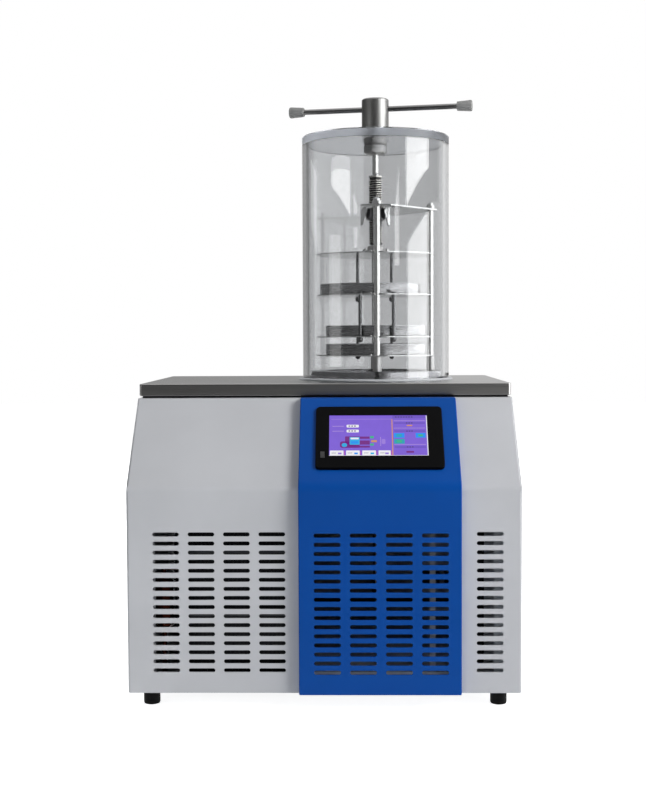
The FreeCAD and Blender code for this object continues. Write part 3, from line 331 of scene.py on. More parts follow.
# condenser drawn as stripes: lighter bands for the fins' edges, darker bands as painted shade in the gaps
# between the fins
FINS = surface("fins", Metallic=0.9, Roughness=0.45, Base_Color=lambda net: net.blend(
    net.ramp(net.node("TexWave", {"bands_direction": "X"}, out="Fac", Vector=net.object_point(), Scale=150.0),
             [(0.4, 0.0), (0.6, 1.0)]), srgb(18, 18, 20), srgb(58, 60, 63)))
COPPER = plain("copper", srgb(84, 38, 27), 0.35, 1.0)
FOAM = plain("foam", srgb(45, 45, 46), 0.9, 0.0, 400.0, 0.4)
LEVER_RED = plain("lever_paint", srgb(168, 26, 22), 0.35)
INNER_GREY = plain("inner_grey", srgb(70, 72, 75), 0.45)
FRAME_GREY = plain("frame_grey", srgb(188, 191, 196), 0.5, shine=0.2)
BOX_PAINT = plain("box_paint", srgb(38, 39, 41), 0.6, shine=0.08)

# ---- modelling helpers ----


def point(x, y, z):
    """A place in millimetres, as a vector in metres."""
    return Vector((x, y, z)) * MM


def in_scene(name, data):
    """A new object that holds some data, linked to the scene."""
    made = bpy.data.objects.new(name, data)
    bpy.context.scene.collection.objects.link(made)
    return made


def mesh_object(name, bm):
    """A new object from a bmesh, which is freed."""
    mesh = bpy.data.meshes.new(name)
    bm.to_mesh(mesh)
    bm.free()
    return in_scene(name, mesh)


def finished(name, bm, body, material, *replaced, sharp=SHARP):
    """Turns a bmesh into a piece that rides on a body."""
    bmesh.ops.recalc_face_normals(bm, faces=bm.faces)
    piece = mesh_object(name, bm)
    piece.data.materials.append(material)
    soften(piece.data, sharp)
    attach(piece, body)
    if replaced:
        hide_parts(*replaced)
    return piece


def soften(mesh, sharp):
    """Smooth shading, with the edges steeper than an angle kept sharp."""
    mesh.shade_smooth()
    mesh.set_sharp_from_angle(angle=math.radians(sharp))


def lathe(bm, profile, origin, axis=(0, 0, 1), steps=72):
    """Spins (radius, distance along the axis) points round an axis through origin."""
    axis = Vector(axis).normalized()
    side = Vector((1, 0, 0)) if abs(axis.x) < 0.9 else Vector((0, 0, 1))
    side = (side - axis * side.dot(axis)).normalized()
    start = Vector(origin) * MM
    closed = profile[0][0] > 0
    verts = [bm.verts.new(start + side * (r * MM) + axis * (d * MM)) for r, d in profile]
    pairs = list(zip(verts, verts[1:])) + ([(verts[-1], verts[0])] if closed else [])
    edges = [bm.edges.new(pair) for pair in pairs]
    bmesh.ops.spin(bm, geom=verts + edges, cent=start, axis=axis, angle=math.tau, steps=steps, use_merge=True)
    bmesh.ops.remove_doubles(bm, verts=bm.verts, dist=1e-7)


def turned_piece(name, body, material, profile, *replaced, origin=None, axis=(0, 0, 1), steps=72,
                 sharp=SHARP):
    """A lathed piece, round the chamber's axis unless told otherwise."""
    bm = bmesh.new()
    lathe(bm, profile, origin or (AXIS_X, AXIS_Y, 0), axis, steps)
    return finished(name, bm, body, material, *replaced, sharp=sharp)


def turned_set(name, body, material, profile, places, node, steps):
    """One piece of several alike lathed bodies, each upright at its (x, y) place."""
    bm = bmesh.new()
    for x, y in places:
        lathe(bm, profile, (x, y, 0), steps=steps)
    finished(name, bm, body, material, node)


def plug(bm, radius, z0, z1, place=(AXIS_X, AXIS_Y), steps=48):
    """Upright cylinder, for a cutter."""
    lathe(bm, [(0, z0), (radius, z0), (radius, z1), (0, z1)], (*place, 0), steps=steps)


def block(bm, low, high, matrix=Matrix.Identity(4)):
    """Adds a box between two corners, and returns its vertices."""
    low, high = Vector(low), Vector(high)
    size = Matrix.Diagonal(((high - low) * MM).to_4d())
    size[3][3] = 1
    shift = Matrix.Translation((low + high) * (MM / 2))
    return bmesh.ops.create_cube(bm, size=1.0, matrix=matrix @ shift @ size)["verts"]


def round_edges(bm, edges, radius, segments, clamp=False):
    """Rounds some edges."""
    bmesh.ops.bevel(bm, geom=edges, offset=radius * MM, segments=segments, profile=0.5, affect="EDGES",
                    material=-1, clamp_overlap=clamp)


def round_all(bm, radius, segments, chosen=None):
    """Rounds all edges, or those that a test chooses."""
    round_edges(bm, [edge for edge in bm.edges if chosen is None or chosen(edge)], radius, segments, True)


def runs_along(edge, way):
    """Whether an edge runs along a direction."""
    return abs((edge.verts[0].co - edge.verts[1].co).normalized().dot(way)) > 0.9


def carry(bm, swept, way):
    """Moves the new vertices of an extrusion by a way in millimetres, and returns them."""
    moved = [item for item in swept["geom"] if isinstance(item, bmesh.types.BMVert)]
    bmesh.ops.translate(bm, verts=moved, vec=Vector(way) * MM)
    return moved


def slab(bm, corners, way):
    """A flat face through some corners, drawn out along a way in millimetres."""
    face = bm.faces.new([bm.verts.new(corner) for corner in corners])
    carry(bm, bmesh.ops.extrude_face_region(bm, geom=[face]), way)


def cut(piece, cutter_bm):
    """Takes the cutter's shape out of a piece."""
    bmesh.ops.recalc_face_normals(cutter_bm, faces=cutter_bm.faces)
    cutter = mesh_object("cutter", cutter_bm)
    boolean = piece.modifiers.new("cut", "BOOLEAN")
    boolean.operation = "DIFFERENCE"
    boolean.solver = "EXACT"
    boolean.object = cutter
    apply_modifiers(piece)
    bpy.data.objects.remove(cutter)


def apply_modifiers(piece):
    """Makes the result of a piece's modifiers its mesh."""
    graph = bpy.context.evaluated_depsgraph_get()
    mesh = bpy.data.meshes.new_from_object(piece.evaluated_get(graph))
    piece.modifiers.clear()
    piece.data = mesh
    soften(mesh, SHARP)


def even_normals(piece):
    """Keeps large flat faces flat in the shading, so that only the rounded edges turn."""
    weighted = piece.modifiers.new("even", "WEIGHTED_NORMAL")
    weighted.keep_sharp = True
    weighted.weight = 100


def thicken(piece):
    """Gives a sheet its thickness, inwards from its outer face."""
    solid = piece.modifiers.new("sheet", "SOLIDIFY")
    solid.thickness = SHEET * MM
    solid.offset = -1
    apply_modifiers(piece)


# ---- casing ----

SLOPE_MATRIX = Matrix.Translation(point(0, FRONT_Y, up(BEND_H))) @ Matrix.Rotation(SLOPE, 4, "X")
SLOPE_NORMAL = SLOPE_MATRIX.to_3x3() @ Vector((0, 0, 1))


def front_line(proud, top):
    """(y, z) points of the casing's front from its lower edge over the bend to its top."""
    half = (math.pi / 2 - SLOPE) / 2
    bend = BEND_H + proud * math.tan(half)
    radius = BEND_R + proud
    trim = radius * math.tan(half)
    centre_y = FRONT_Y - proud + radius
    centre_z = up(bend - trim)
    arc = []
    for k in range(7):
        turn = 2 * half * k / 6
        arc.append((centre_y - radius * math.cos(turn), centre_z + radius * math.sin(turn)))
    crest = (top - bend) / math.tan(SLOPE)
    return [(FRONT_Y - proud, up(0))] + arc + [(FRONT_Y - proud + crest, up(top))]


def sheet_strip(bm, line, x0, x1):
    """Extrudes a line of (y, z) points from x0 to x1, and returns the row of vertices at x1."""
    first = [bm.verts.new(point(x0, y, z)) for y, z in line]
    edges = [bm.edges.new(pair) for pair in zip(first, first[1:])]
    moved = carry(bm, bmesh.ops.extrude_edge_only(bm, edges=edges), (x1 - x0, 0, 0))
    return [min(moved, key=lambda v: (v.co - point(x1, y, z)).length) for y, z in line]


def slot_tool(columns, y0, y1):
    """Round-ended slots for some columns of vents."""
    bm = bmesh.new()
    straight = (SLOT_L - SLOT_H) / 2
    for x in columns:
        for row in range(SLOT_ROWS):
            z = up(SLOT_TOP - row * SLOT_PITCH)
            flat = Matrix.Translation(point(x, y0, z)) @ Matrix.Rotation(math.pi / 2, 4, "X")
            ring = bmesh.ops.create_circle(bm, cap_ends=True, segments=18, radius=SLOT_H / 2 * MM,
                                           matrix=flat @ Matrix.Rotation(math.radians(10), 4, "Z"))["verts"]
            for vert in ring:
                vert.co.x += math.copysign(straight * MM, vert.co.x - x * MM)
            grown = bmesh.ops.extrude_face_region(bm, geom=[ring[0].link_faces[0]])
            carry(bm, grown, (0, y1 - y0, 0))
    return bm


def side_cover(name, side, columns):
    """White folded cover: front and slope in one strip, with a rounded corner into the side."""
    bm = bmesh.new()
    inner_x = PANEL_LOW.x if side < 0 else PANEL_HIGH.x
    outer_x = side * HALF_W
    line = front_line(0, CASE_H)
    line.append((FRONT_Y + LEDGE_D, up(CASE_H)))
    outer = sheet_strip(bm, line, inner_x, outer_x)
    rear = [bm.verts.new(point(outer_x, BACK_Y, up(h))) for h in (CASE_H, 0)]
    bm.faces.new(outer + rear)
    fold = [e for e in bm.edges if all(v in outer[:-1] for v in e.verts)]
    round_edges(bm, fold, CORNER_R, 4)
    lip = [e for e in bm.edges if e.is_boundary and all(abs(v.co.x - inner_x * MM) < 1e-6 for v in e.verts)
           and max(v.co.y for v in e.verts) < (FRONT_Y + LEDGE_D - 5) * MM]
    carry(bm, bmesh.ops.extrude_edge_only(bm, edges=lip), (0, 12, 0))
    piece = finished(name, bm, "machine", WHITE_COAT, name)
    thicken(piece)
    cut(piece, slot_tool(columns, FRONT_Y - 5, FRONT_Y + 5))
    even_normals(piece)


def front_panel():
    """Blue panel: a shallow tray of sheet that stands proud and follows the bend."""
    bm = bmesh.new()
    outer_line = front_line(PANEL_PROUD, PANEL_TOP)
    inner_line = front_line(0, PANEL_TOP)
    section = [point(PANEL_LOW.x, y, z) for y, z in outer_line + inner_line[::-1]]
    slab(bm, section, (PANEL_HIGH.x - PANEL_LOW.x, 0, 0))
    bmesh.ops.recalc_face_normals(bm, faces=bm.faces)
    inner = {(round(y * 10), round(z * 10)) for y, z in inner_line}
    back = [f for f in bm.faces
            if all((round(v.co.y / MM * 10), round(v.co.z / MM * 10)) in inner for v in f.verts)]
    bmesh.ops.delete(bm, geom=back, context="FACES")
    round_all(bm, 1.8, 3, lambda e: len(e.link_faces) == 2 and e.calc_face_angle(0) > math.radians(25))
    piece = finished("front_panel_sheet", bm, "machine", BLUE_COAT, "front_panel")
    thicken(piece)
    columns = [PANEL_MIDDLE + PANEL_COLUMN_PITCH * (k - 1.5) for k in range(4)]
    tools = slot_tool(columns, FRONT_Y - PANEL_PROUD - 5, FRONT_Y - 5)
    block(tools, (PANEL_MIDDLE - 90, 30, 0), (PANEL_MIDDLE + 88, 142, 30), SLOPE_MATRIX)
    cut(piece, tools)
    even_normals(piece)


def worktop():
    """Stainless worktop with softened edges and corners, and the round trap mouth."""
    bm = bmesh.new()
    block(bm, PLATE_LOW, PLATE_HIGH)
    round_all(bm, 5.0, 4, lambda e: abs(e.verts[0].co.z - e.verts[1].co.z) > 0.01)
    round_all(bm, 1.6, 3, lambda e: abs(e.verts[0].co.z - e.verts[1].co.z) < 1e-6)
    piece = finished("worktop_plate", bm, "machine", WORKTOP, "top_plate")
    mouth = bmesh.new()
    bmesh.ops.create_cone(mouth, cap_ends=True, segments=96, radius1=MOUTH_R * MM, radius2=MOUTH_R * MM,
                          depth=60 * MM, matrix=Matrix.Translation(point(AXIS_X, AXIS_Y, PLATE_HIGH.z)))
    cut(piece, mouth)
    even_normals(piece)


def bench_feet():
    """Rubber feet with a rounded lower edge."""
    low, high = span("feet")
    profile = [(0, 2), (5, 2), (5, 0), (10, 0), (12.2, 0.8), (FOOT_R, 3), (FOOT_R, high.z), (0, high.z)]
    places = [(x, y) for x in (low.x + FOOT_R, high.x - FOOT_R) for y in (low.y + FOOT_R, high.y - FOOT_R)]
    turned_set("rubber_feet", "machine", RUBBER, profile, places, "feet", 40)


def screw_heads(name, body, places, axis, radius=3.4, height=1.9):
    """Domed screw heads with a round recess, standing on a face."""
    bm = bmesh.new()
    profile = [(0, height * 0.45), (radius * 0.34, height * 0.45), (radius * 0.4, height),
               (radius * 0.7, height * 0.9), (radius * 0.92, height * 0.55), (radius, 0.1), (radius, -0.3),
               (0, -0.3)]
    for place in places:
        lathe(bm, profile, place, axis, steps=20)
    finished(name, bm, body, BRIGHT_STEEL)


def rear_fixings():
    """Foam strip behind the rear sheet's lower joint, and the sheet's screws."""
    low, high = span("rear_panel")
    bm = bmesh.new()
    block(bm, (-HALF_W + 5, BACK_Y - 5, low.z - 7), (HALF_W - 5, BACK_Y - 3.1, low.z + 7))
    finished("rear_seal", bm, "machine", FOAM)
    rows = (low.z + 12, (low.z + high.z) / 2, high.z - 12)
    rear = [(x, BACK_Y, z) for z in rows for x in (low.x + 10, high.x - 10)]
    rear += [(x, BACK_Y, z) for z in (low.z + 12, high.z - 12) for x in (-100, 20)]
    screw_heads("rear_screws", "machine", rear, (0, 1, 0))


side_cover("left_cover", -1, LEFT_COLUMNS)
side_cover("right_cover", 1, RIGHT_COLUMNS)
front_panel()
worktop()
bench_feet()
rear_fixings()


# ---- drying chamber ----

def chamber():
    """Clear tube, its lid and the seal it stands on."""
    low, high = TUBE_LOW.z, TUBE_HIGH.z
    radius = (TUBE_HIGH.x - TUBE_LOW.x) / 2
    inner = radius - 10
    edge = 0.6
    turned_piece("clear_tube", "machine", ACRYLIC,
                 [(inner, low + edge), (inner + edge, low), (radius - edge, low), (radius, low + edge),
                  (radius, high - edge), (radius - edge, high - 0.15), (inner + 0.1, high - 0.15),
                  (inner, high - 0.25)], "chamber_tube", steps=144)
    low, high = span("chamber_lid")
    lid = turned_piece("clear_lid", "machine", LID_ACRYLIC,
                       [(GLAND_R + 0.1, low.z), (radius - edge, low.z), (radius, low.z + edge),
                        (radius, high.z - 2), (radius - 2, high.z), (GLAND_R + 0.1, high.z)],
                       "chamber_lid", steps=144)
    lid.data.materials.append(LID_EDGE)
    axis = point(AXIS_X, AXIS_Y, 0).to_2d()
    for face in lid.data.polygons:
        if abs(face.normal.z) < 0.5 and (face.center.to_2d() - axis).length > radius / 2 * MM:
            face.material_index = 1
    low, high = span("chamber_gasket")
    outer = (high.x - low.x) / 2
    turned_piece("tube_seal", "machine", SEAL,
                 [(inner - 3, low.z), (outer - 0.8, low.z), (outer, low.z + 0.8), (outer, high.z - 1.2),
                  (outer - 1.2, high.z), (inner - 3, high.z)], "chamber_gasket", steps=144)


def collar():
    """Split stainless ring round the trap mouth, and the trap bucket below it."""
    low, high = span("trap_collar")
    outer = (high.x - low.x) / 2
    piece = turned_piece("collar_ring", "machine", COLLAR_STEEL,
                         [(88, low.z), (outer, low.z), (outer, high.z - 1.2), (outer - 1.2, high.z),
                          (89, high.z), (88, high.z - 1)], "trap_collar", steps=120)
    tools = bmesh.new()
    block(tools, (AXIS_X - 3.5, AXIS_Y - outer - 5, low.z - 5), (AXIS_X + 3.5, AXIS_Y - 80, high.z + 5))
    for place in REAR_RODS:
        plug(tools, 7.5, low.z - 5, high.z + 5, place, 32)
    cut(piece, tools)
    low, high = span("cold_trap")
    floor = low.z + 1.5
    turned_piece("trap_bucket", "machine", TRAY_STEEL,
                 [(0, low.z), (92, low.z), (MOUTH_R + 1.5, low.z + 9), (MOUTH_R + 1.5, high.z - 2),
                  (118, high.z - 2), (118, high.z), (MOUTH_R, high.z), (MOUTH_R, floor + 9), (91, floor),
                  (6, floor), (0, floor)], "cold_trap", steps=96)


def gland():
    """Drive gland: its flange on the lid, its body through it and the nut below."""
    low, high = span("lid_gland")
    turned_piece("gland_body", "machine", GLAND_STEEL,
                 [(ROD_R + 0.1, low.z), (GLAND_R - 0.8, low.z), (GLAND_R, low.z + 0.8),
                  (GLAND_R, high.z - 4), (20.4, high.z - 4), (21, high.z - 3.4), (21, high.z - 0.8),
                  (20.2, high.z), (ROD_R + 0.1, high.z)], "lid_gland", steps=64)
    low, high = span("gland_nut")
    bm = bmesh.new()
    hexagon(bm, 36, AXIS_X, AXIS_Y, low.z + 0.2, high.z, 1.2, 10)
    nut = finished("gland_hexagon", bm, "machine", GLAND_STEEL, "gland_nut", sharp=20)
    taper = bmesh.new()
    lathe(taper, [(15.5, low.z - 1), (15.5, low.z), (21.2, low.z + 5), (30, low.z + 5), (30, low.z - 1)],
          (AXIS_X, AXIS_Y, 0), steps=48)
    plug(taper, GLAND_R + 0.05, low.z - 3, high.z + 3)
    cut(nut, taper)


def hexagon(bm, across_flats, x, y, z0, z1, edge, turn=0.0):
    """Hexagonal prism with softened edges."""
    place = Matrix.Translation(point(x, y, (z0 + z1) / 2)) @ Matrix.Rotation(math.radians(turn), 4, "Z")
    radius = across_flats / math.sqrt(3) * MM
    made = bmesh.ops.create_cone(bm, cap_ends=True, segments=6, radius1=radius, radius2=radius,
                                 depth=(z1 - z0) * MM, matrix=place @ Matrix.Rotation(math.pi / 6, 4, "Z"))
    round_edges(bm, list({side for vert in made["verts"] for side in vert.link_edges}), edge, 2)


# ---- stoppering drive ----

def bar_line():
    """Middle of the cross bar, and the direction of its slide in the record."""
    joint = next(j for j in frame["record"]["behaviour"]["joints"] if j["name"] == "bar_slide")
    way = Vector(joint["axis"]).normalized()
    low, high = span("handle_grips")
    return (low + high) / 2, way


def drive():
    """Head, cross bar with its grips, and drive rod."""
    low, high = span("handle_head")
    radius = (high.x - low.x) / 2
    rounding = [(radius - 3.5 + 3.5 * math.cos(a), high.z - 3.5 + 3.5 * math.sin(a))
                for a in (k * math.pi / 12 for k in range(7))]
    profile = [(0, low.z), (radius - 0.7, low.z), (radius, low.z + 0.7), (radius, low.z + 6.4),
               (radius - 0.5, low.z + 6.7), (radius - 0.5, low.z + 7.3), (radius, low.z + 7.6)]
    head = turned_piece("drive_head", "handle", HEAD_STEEL, profile + rounding + [(0, high.z)], "handle_head",
                        steps=96, sharp=24)
    middle, way = bar_line()
    bar_z = (span("handle_bar")[0].z + span("handle_bar")[1].z) / 2
    axis_point = Vector((AXIS_X, AXIS_Y, bar_z))
    bore = bmesh.new()
    lathe(bore, [(0, -40), (BAR_R + 0.05, -40), (BAR_R + 0.05, 40), (0, 40)], axis_point, way, 40)
    cut(head, bore)
    centre = Vector((middle.x, middle.y, bar_z))
    half = BAR_SPAN / 2
    turned_piece("cross_bar_rod", "cross_bar", BAR_STEEL,
                 [(0, 4 - half), (BAR_R - 0.55, 4 - half), (BAR_R, 4.6 - half), (BAR_R, half - 4.6),
                  (BAR_R - 0.55, half - 4), (0, half - 4)], "handle_bar", origin=centre, axis=way, steps=40)
    bm = bmesh.new()
    for end in (-1, 1):
        lathe(bm, [(0, half - 4), (BAR_R + 0.05, half - 4), (BAR_R + 0.05, half - 26.5), (7.4, half - 26.5),
                   (8.2, half - 25.7), (9.9, half - 2.6), (9.4, half - 0.8), (8.2, half), (0, half)],
              centre, way * end, 40)
    finished("end_grips", bm, "cross_bar", GRIP, "handle_grips")
    low, high = span("drive_rod")
    rod_low = up(ROD_FOOT)
    turned_piece("drive_rod_round", "handle", ROD_STEEL,
                 [(0, rod_low), (ROD_R - 0.7, rod_low), (ROD_R, rod_low + 0.7), (ROD_R, high.z),
                  (0, high.z)], steps=40)
    bm = bmesh.new()
    hexagon(bm, 9.0, AXIS_X, AXIS_Y, low.z, rod_low, 0.3)
    finished("drive_key", bm, "handle", ROD_STEEL, "drive_rod", sharp=20)


def lead_screw():
    """Screw with a real thread, its driving bore and its journal."""
    low, high = span("lead_screw")
    shoulder = up(SCREW_SHOULDER)
    radius = SCREW_R
    core = radius - THREAD_DEPTH
    bm = bmesh.new()
    lathe(bm, [(ROD_R, high.z), (ROD_R, shoulder + 15), (0, shoulder + 15), (0, low.z), (6.4, low.z),
               (7, low.z + 0.6), (7, shoulder), (core - 0.6, shoulder), (core, shoulder + 0.6),
               (core, high.z - 3), (radius - 0.4, high.z - 3), (radius - 0.4, high.z - 0.6),
               (radius - 1, high.z)],
          (AXIS_X, AXIS_Y, 0), steps=48)
    steps = 28
    turns = int((high.z - 7 - shoulder) / SCREW_PITCH)
    flank = [(core - 0.4, -1.45), (radius, -0.5), (radius, 0.5), (core - 0.4, 1.45)]
    start = Vector((AXIS_X, AXIS_Y, shoulder + 2.2))
    verts = [bm.verts.new((start + Vector((r, 0, d))) * MM) for r, d in flank]
    edges = [bm.edges.new(pair) for pair in zip(verts, verts[1:] + verts[:1])]
    face = bm.faces.new(verts)
    bmesh.ops.spin(bm, geom=[face] + verts + edges, cent=point(AXIS_X, AXIS_Y, 0), axis=(0, 0, 1),
                   dvec=(0, 0, SCREW_PITCH / steps * MM), angle=math.tau * turns, steps=steps * turns,
                   use_merge=False)
    finished("threaded_screw", bm, "screw", SCREW_STEEL, "lead_screw", sharp=28)


# ---- stoppering rack ----

POST_PLACES = [(AXIS_X, AXIS_Y - POST_RING), (AXIS_X + POST_RING, AXIS_Y), (AXIS_X, AXIS_Y + POST_RING)]
STOP_PLACES = [(AXIS_X - 10, AXIS_Y - POST_RING), (AXIS_X + POST_RING, AXIS_Y + 10),
               (AXIS_X - 10, AXIS_Y + POST_RING)]
REAR_RODS = [(AXIS_X + side * 32, AXIS_Y + 91) for side in (-1, 1)]
FRONT_RODS = [(AXIS_X + side * 28, AXIS_Y - 93) for side in (-1, 1)]


def cap_nuts(name, body, node, size, places):
    """Cap nuts as wide as they are high: chamfered hexagons with domes."""
    low = span(node)[0].z
    waist = low + 0.5 * size
    r = size / 2 * 0.94
    dome = [(r * math.cos(a), waist - 0.6 + (0.5 * size + 0.6) * math.sin(a))
            for a in (k * math.pi / 12 for k in range(6))]
    bm = bmesh.new()
    for x, y in places:
        hexagon(bm, size, x, y, low, waist, 0.5)
        lathe(bm, [(0, waist - 0.6)] + dome + [(0, low + size)], (x, y, 0), steps=28)
    finished(name, bm, body, BRIGHT_STEEL, node)


def rack_guides():
    """Posts, spacer sleeves, bridge with its nut, and the cap nuts."""
    low, high = span("rack_posts")
    shoulder = up(POST_SHOULDER)
    turned_set("guide_posts", "machine", ROD_STEEL,
               [(0, low.z), (POST_R, low.z), (POST_R, shoulder - 0.5), (POST_R - 0.5, shoulder),
                (4, shoulder), (4, high.z), (0, high.z)], POST_PLACES, "rack_posts", 36)
    low, high = span("post_sleeves")
    turned_set("spacer_sleeves", "machine", TURNED,
               [(POST_R + 0.05, low.z), (6.9, low.z), (7.5, low.z + 0.6), (7.5, high.z - 0.6),
                (6.9, high.z), (POST_R + 0.05, high.z)], POST_PLACES, "post_sleeves", 36)
    cap_nuts("post_cap_nuts", "machine", "post_nuts", 13, POST_PLACES)
    low, high = span("rack_bridge")
    top = high.z
    outline = [(-27, -106), (-24, -109), (24, -109), (27, -106), (106, -13), (109, -10), (109, 10),
               (106, 13), (27, 106), (24, 109), (-24, 109), (-27, 106)]
    bm = bmesh.new()
    slab(bm, [point(AXIS_X + x, AXIS_Y + y, top - 3) for x, y in outline], (0, 0, 3))
    round_all(bm, 0.5, 2)
    plate = finished("bridge_plate", bm, "machine", SHEET_STEEL, "rack_bridge", sharp=25)
    hole = bmesh.new()
    plug(hole, 13.2, top - 10, top + 5)
    cut(plate, hole)
    skirt = turned_piece("bridge_skirt", "machine", SHEET_STEEL,
                         [(24.5, low.z), (27, low.z), (27, top - 3), (24.5, top - 3)], "rack_bridge",
                         steps=64)
    arch = bmesh.new()
    line = [(-24, low.z - 5), (24, low.z - 5), (15, top - 2), (-15, top - 2)]
    slab(arch, [point(AXIS_X + x, AXIS_Y - 50, z) for x, z in line], (0, 100, 0))
    cut(skirt, arch)
    low, high = span("bridge_nut")
    turned_piece("screw_nut", "machine", NUT_STEEL,
                 [(SCREW_R + 0.05, low.z), (14.5, low.z), (17.5, low.z + 3), (17.5, high.z),
                  (SCREW_R + 0.05, high.z)], "bridge_nut", steps=64)


def shelf(name, body, node, notched):
    """Thin round shelf with a softened rim, and notches or holes at the posts."""
    low, high = span(node)
    radius = (high.x - low.x) / 2
    z0, z1 = low.z, high.z
    piece = turned_piece(name, body, SHEET_STEEL,
                         [(0, z0), (radius - 0.4, z0), (radius, z0 + 0.4), (radius, z1 - 0.4),
                          (radius - 0.4, z1), (0, z1)], node, steps=128)
    holes = bmesh.new()
    mouths = bmesh.new()
    reach = POST_R + 0.5 if notched else POST_R + 0.05
    for x, y in POST_PLACES:
        plug(holes, reach, z0 - 5, z1 + 5, (x, y), 32)
        out = Vector((x - AXIS_X, y - AXIS_Y, 0)).normalized()
        turn = Matrix.Translation(point(x, y, 0)) @ out.to_track_quat("X", "Z").to_matrix().to_4x4()
        block(mouths, (0, -reach + 0.01, z0 - 5), (20, reach - 0.01, z1 + 5), turn)
    cut(piece, holes)
    if notched:
        cut(piece, mouths)
    return piece


def hanger_rods(name, body, node, places):
    """Slim rods with a round head above and a domed foot below."""
    low, high = span(node)
    foot = low.z + 7.7
    profile = [(0, low.z), (1.8, low.z + 0.3), (3.6, low.z + 1.4), (4.6, low.z + 3.2), (4.9, low.z + 4.6),
               (4.9, foot), (3, foot), (3, high.z - 3), (4.6, high.z - 3), (4.6, high.z - 0.8),
               (3.8, high.z), (0, high.z)]
    turned_set(name, body, DARK_STEEL, profile, places, node, 28)


def rack_moving():
    """Press plate, shelves, trays, hanger rods and the screw's swivel bearing."""
    stack = [("press_plate", "press_set", True), ("shelf_upper", "upper_set", True),
             ("shelf_middle", "middle_set", True), ("shelf_lower", "machine", False)]
    for node, body, notched in stack:
        shelf(node + "_disc", body, node, notched)
        stops = [(x, y, span(node)[1].z) for x, y in STOP_PLACES]
        screw_heads("stops_" + node, body, stops, (0, 0, 1), 2.4, 2.6)
    hanger_rods("rods_upper", "press_set", "hanger_bolts_upper", REAR_RODS)
    hanger_rods("rods_middle", "upper_set", "hanger_bolts_middle", FRONT_RODS)
    hanger_rods("rods_lower", "middle_set", "hanger_bolts_lower", REAR_RODS)
    for node, body in (("tray_upper", "upper_set"), ("tray_middle", "middle_set"), ("tray_lower", "machine")):
        low, high = span(node)
        middle = (low.x + high.x) / 2
        r = (high.x - low.x) / 2
        turned_piece(node + "_pan", body, TRAY_STEEL,
                     [(0, low.z), (r - 3, low.z), (r - 1.2, low.z + 0.8), (r - 0.3, low.z + 3),
                      (r - 0.3, high.z - 1.6), (r, high.z - 1), (r - 0.2, high.z - 0.1), (r - 0.8, high.z),
                      (r - 1.3, high.z - 0.5), (r - 1.3, low.z + 3), (r - 3.2, low.z + 1), (0, low.z + 1)],
                     node, origin=(middle, AXIS_Y, 0), steps=112)
    low, high = span("swivel_bearing")
    turned_piece("bearing_body", "press_set", TURNED,
                 [(7.05, low.z + 1.4), (0, low.z + 1.4), (0, low.z), (25, low.z), (25, low.z + 2.5),
                  (24.5, low.z + 3), (15.6, low.z + 3), (15, low.z + 3.6), (15, low.z + 13), (13, high.z),
                  (7.05, high.z)], "swivel_bearing", steps=64)
    nut_places = [(AXIS_X + side * 19.6, AXIS_Y) for side in (-1, 1)]
    cap_nuts("bearing_cap_nuts", "press_set", "bearing_nuts", 8, nut_places)


# ---- operating screen ----

def glow(name, colour):
    """Lit part of the display."""
    return surface(name, Base_Color=tinted(tuple(c * 0.05 for c in colour), 0.1, 80.0), Roughness=0.18,
                   Specular_IOR_Level=0.3, Emission_Color=tinted(colour, 0.03, 60.0), Emission_Strength=0.93)


PAINTS = {
    "field": (122, 90, 210), "band": (106, 78, 192), "line": (168, 140, 216), "paper": (236, 236, 240),
    "ink": (74, 50, 120), "plum": (112, 22, 128), "rose": (176, 84, 178), "sky": (30, 168, 226),
    "blue": (20, 140, 238), "teal": (24, 160, 178), "green": (52, 176, 132), "amber": (206, 142, 100),
    "pale": (150, 120, 214),
}


def display():
    """Operating panel: softened bezel, lit picture, and the service socket's flap."""
    front = PANEL_PROUD
    middle = PANEL_MIDDLE - 1
    bm = bmesh.new()
    block(bm, (middle - 100, 24.4, front - 0.3), (middle + 100, 149.2, front + 5), SLOPE_MATRIX)
    round_all(bm, 7, 6, lambda e: runs_along(e, SLOPE_NORMAL))
    lifted = SLOPE_MATRIX.translation.dot(SLOPE_NORMAL) + (front + 4.9) * MM
    round_all(bm, 1.6, 4, lambda e: all(v.co.dot(SLOPE_NORMAL) > lifted for v in e.verts))
    bezel = finished("panel_bezel", bm, "machine", BEZEL, "hmi_bezel", sharp=30)
    x0, s0 = middle - 1.5 - SCREEN_W / 2, 48.7
    tools = bmesh.new()
    block(tools, (x0, s0, front + 3.2), (x0 + SCREEN_W, s0 + SCREEN_H, front + 9), SLOPE_MATRIX)
    block(tools, (-6.0, 43.5, front + 3), (2.0, 57.5, front + 9), SLOPE_MATRIX)
    cut(bezel, tools)
    even_normals(bezel)
    bm = bmesh.new()
    block(bm, (-5.5, 44, front + 3), (1.5, 57, front + 5.5), SLOPE_MATRIX)
    round_all(bm, 0.7, 3)
    block(bm, (-3.6, 46.5, front + 5.0), (-0.4, 54.5, front + 5.6), SLOPE_MATRIX)
    finished("socket_flap", bm, "machine", FLAP, "usb_cover")
    picture(x0, s0, front + 3.2)


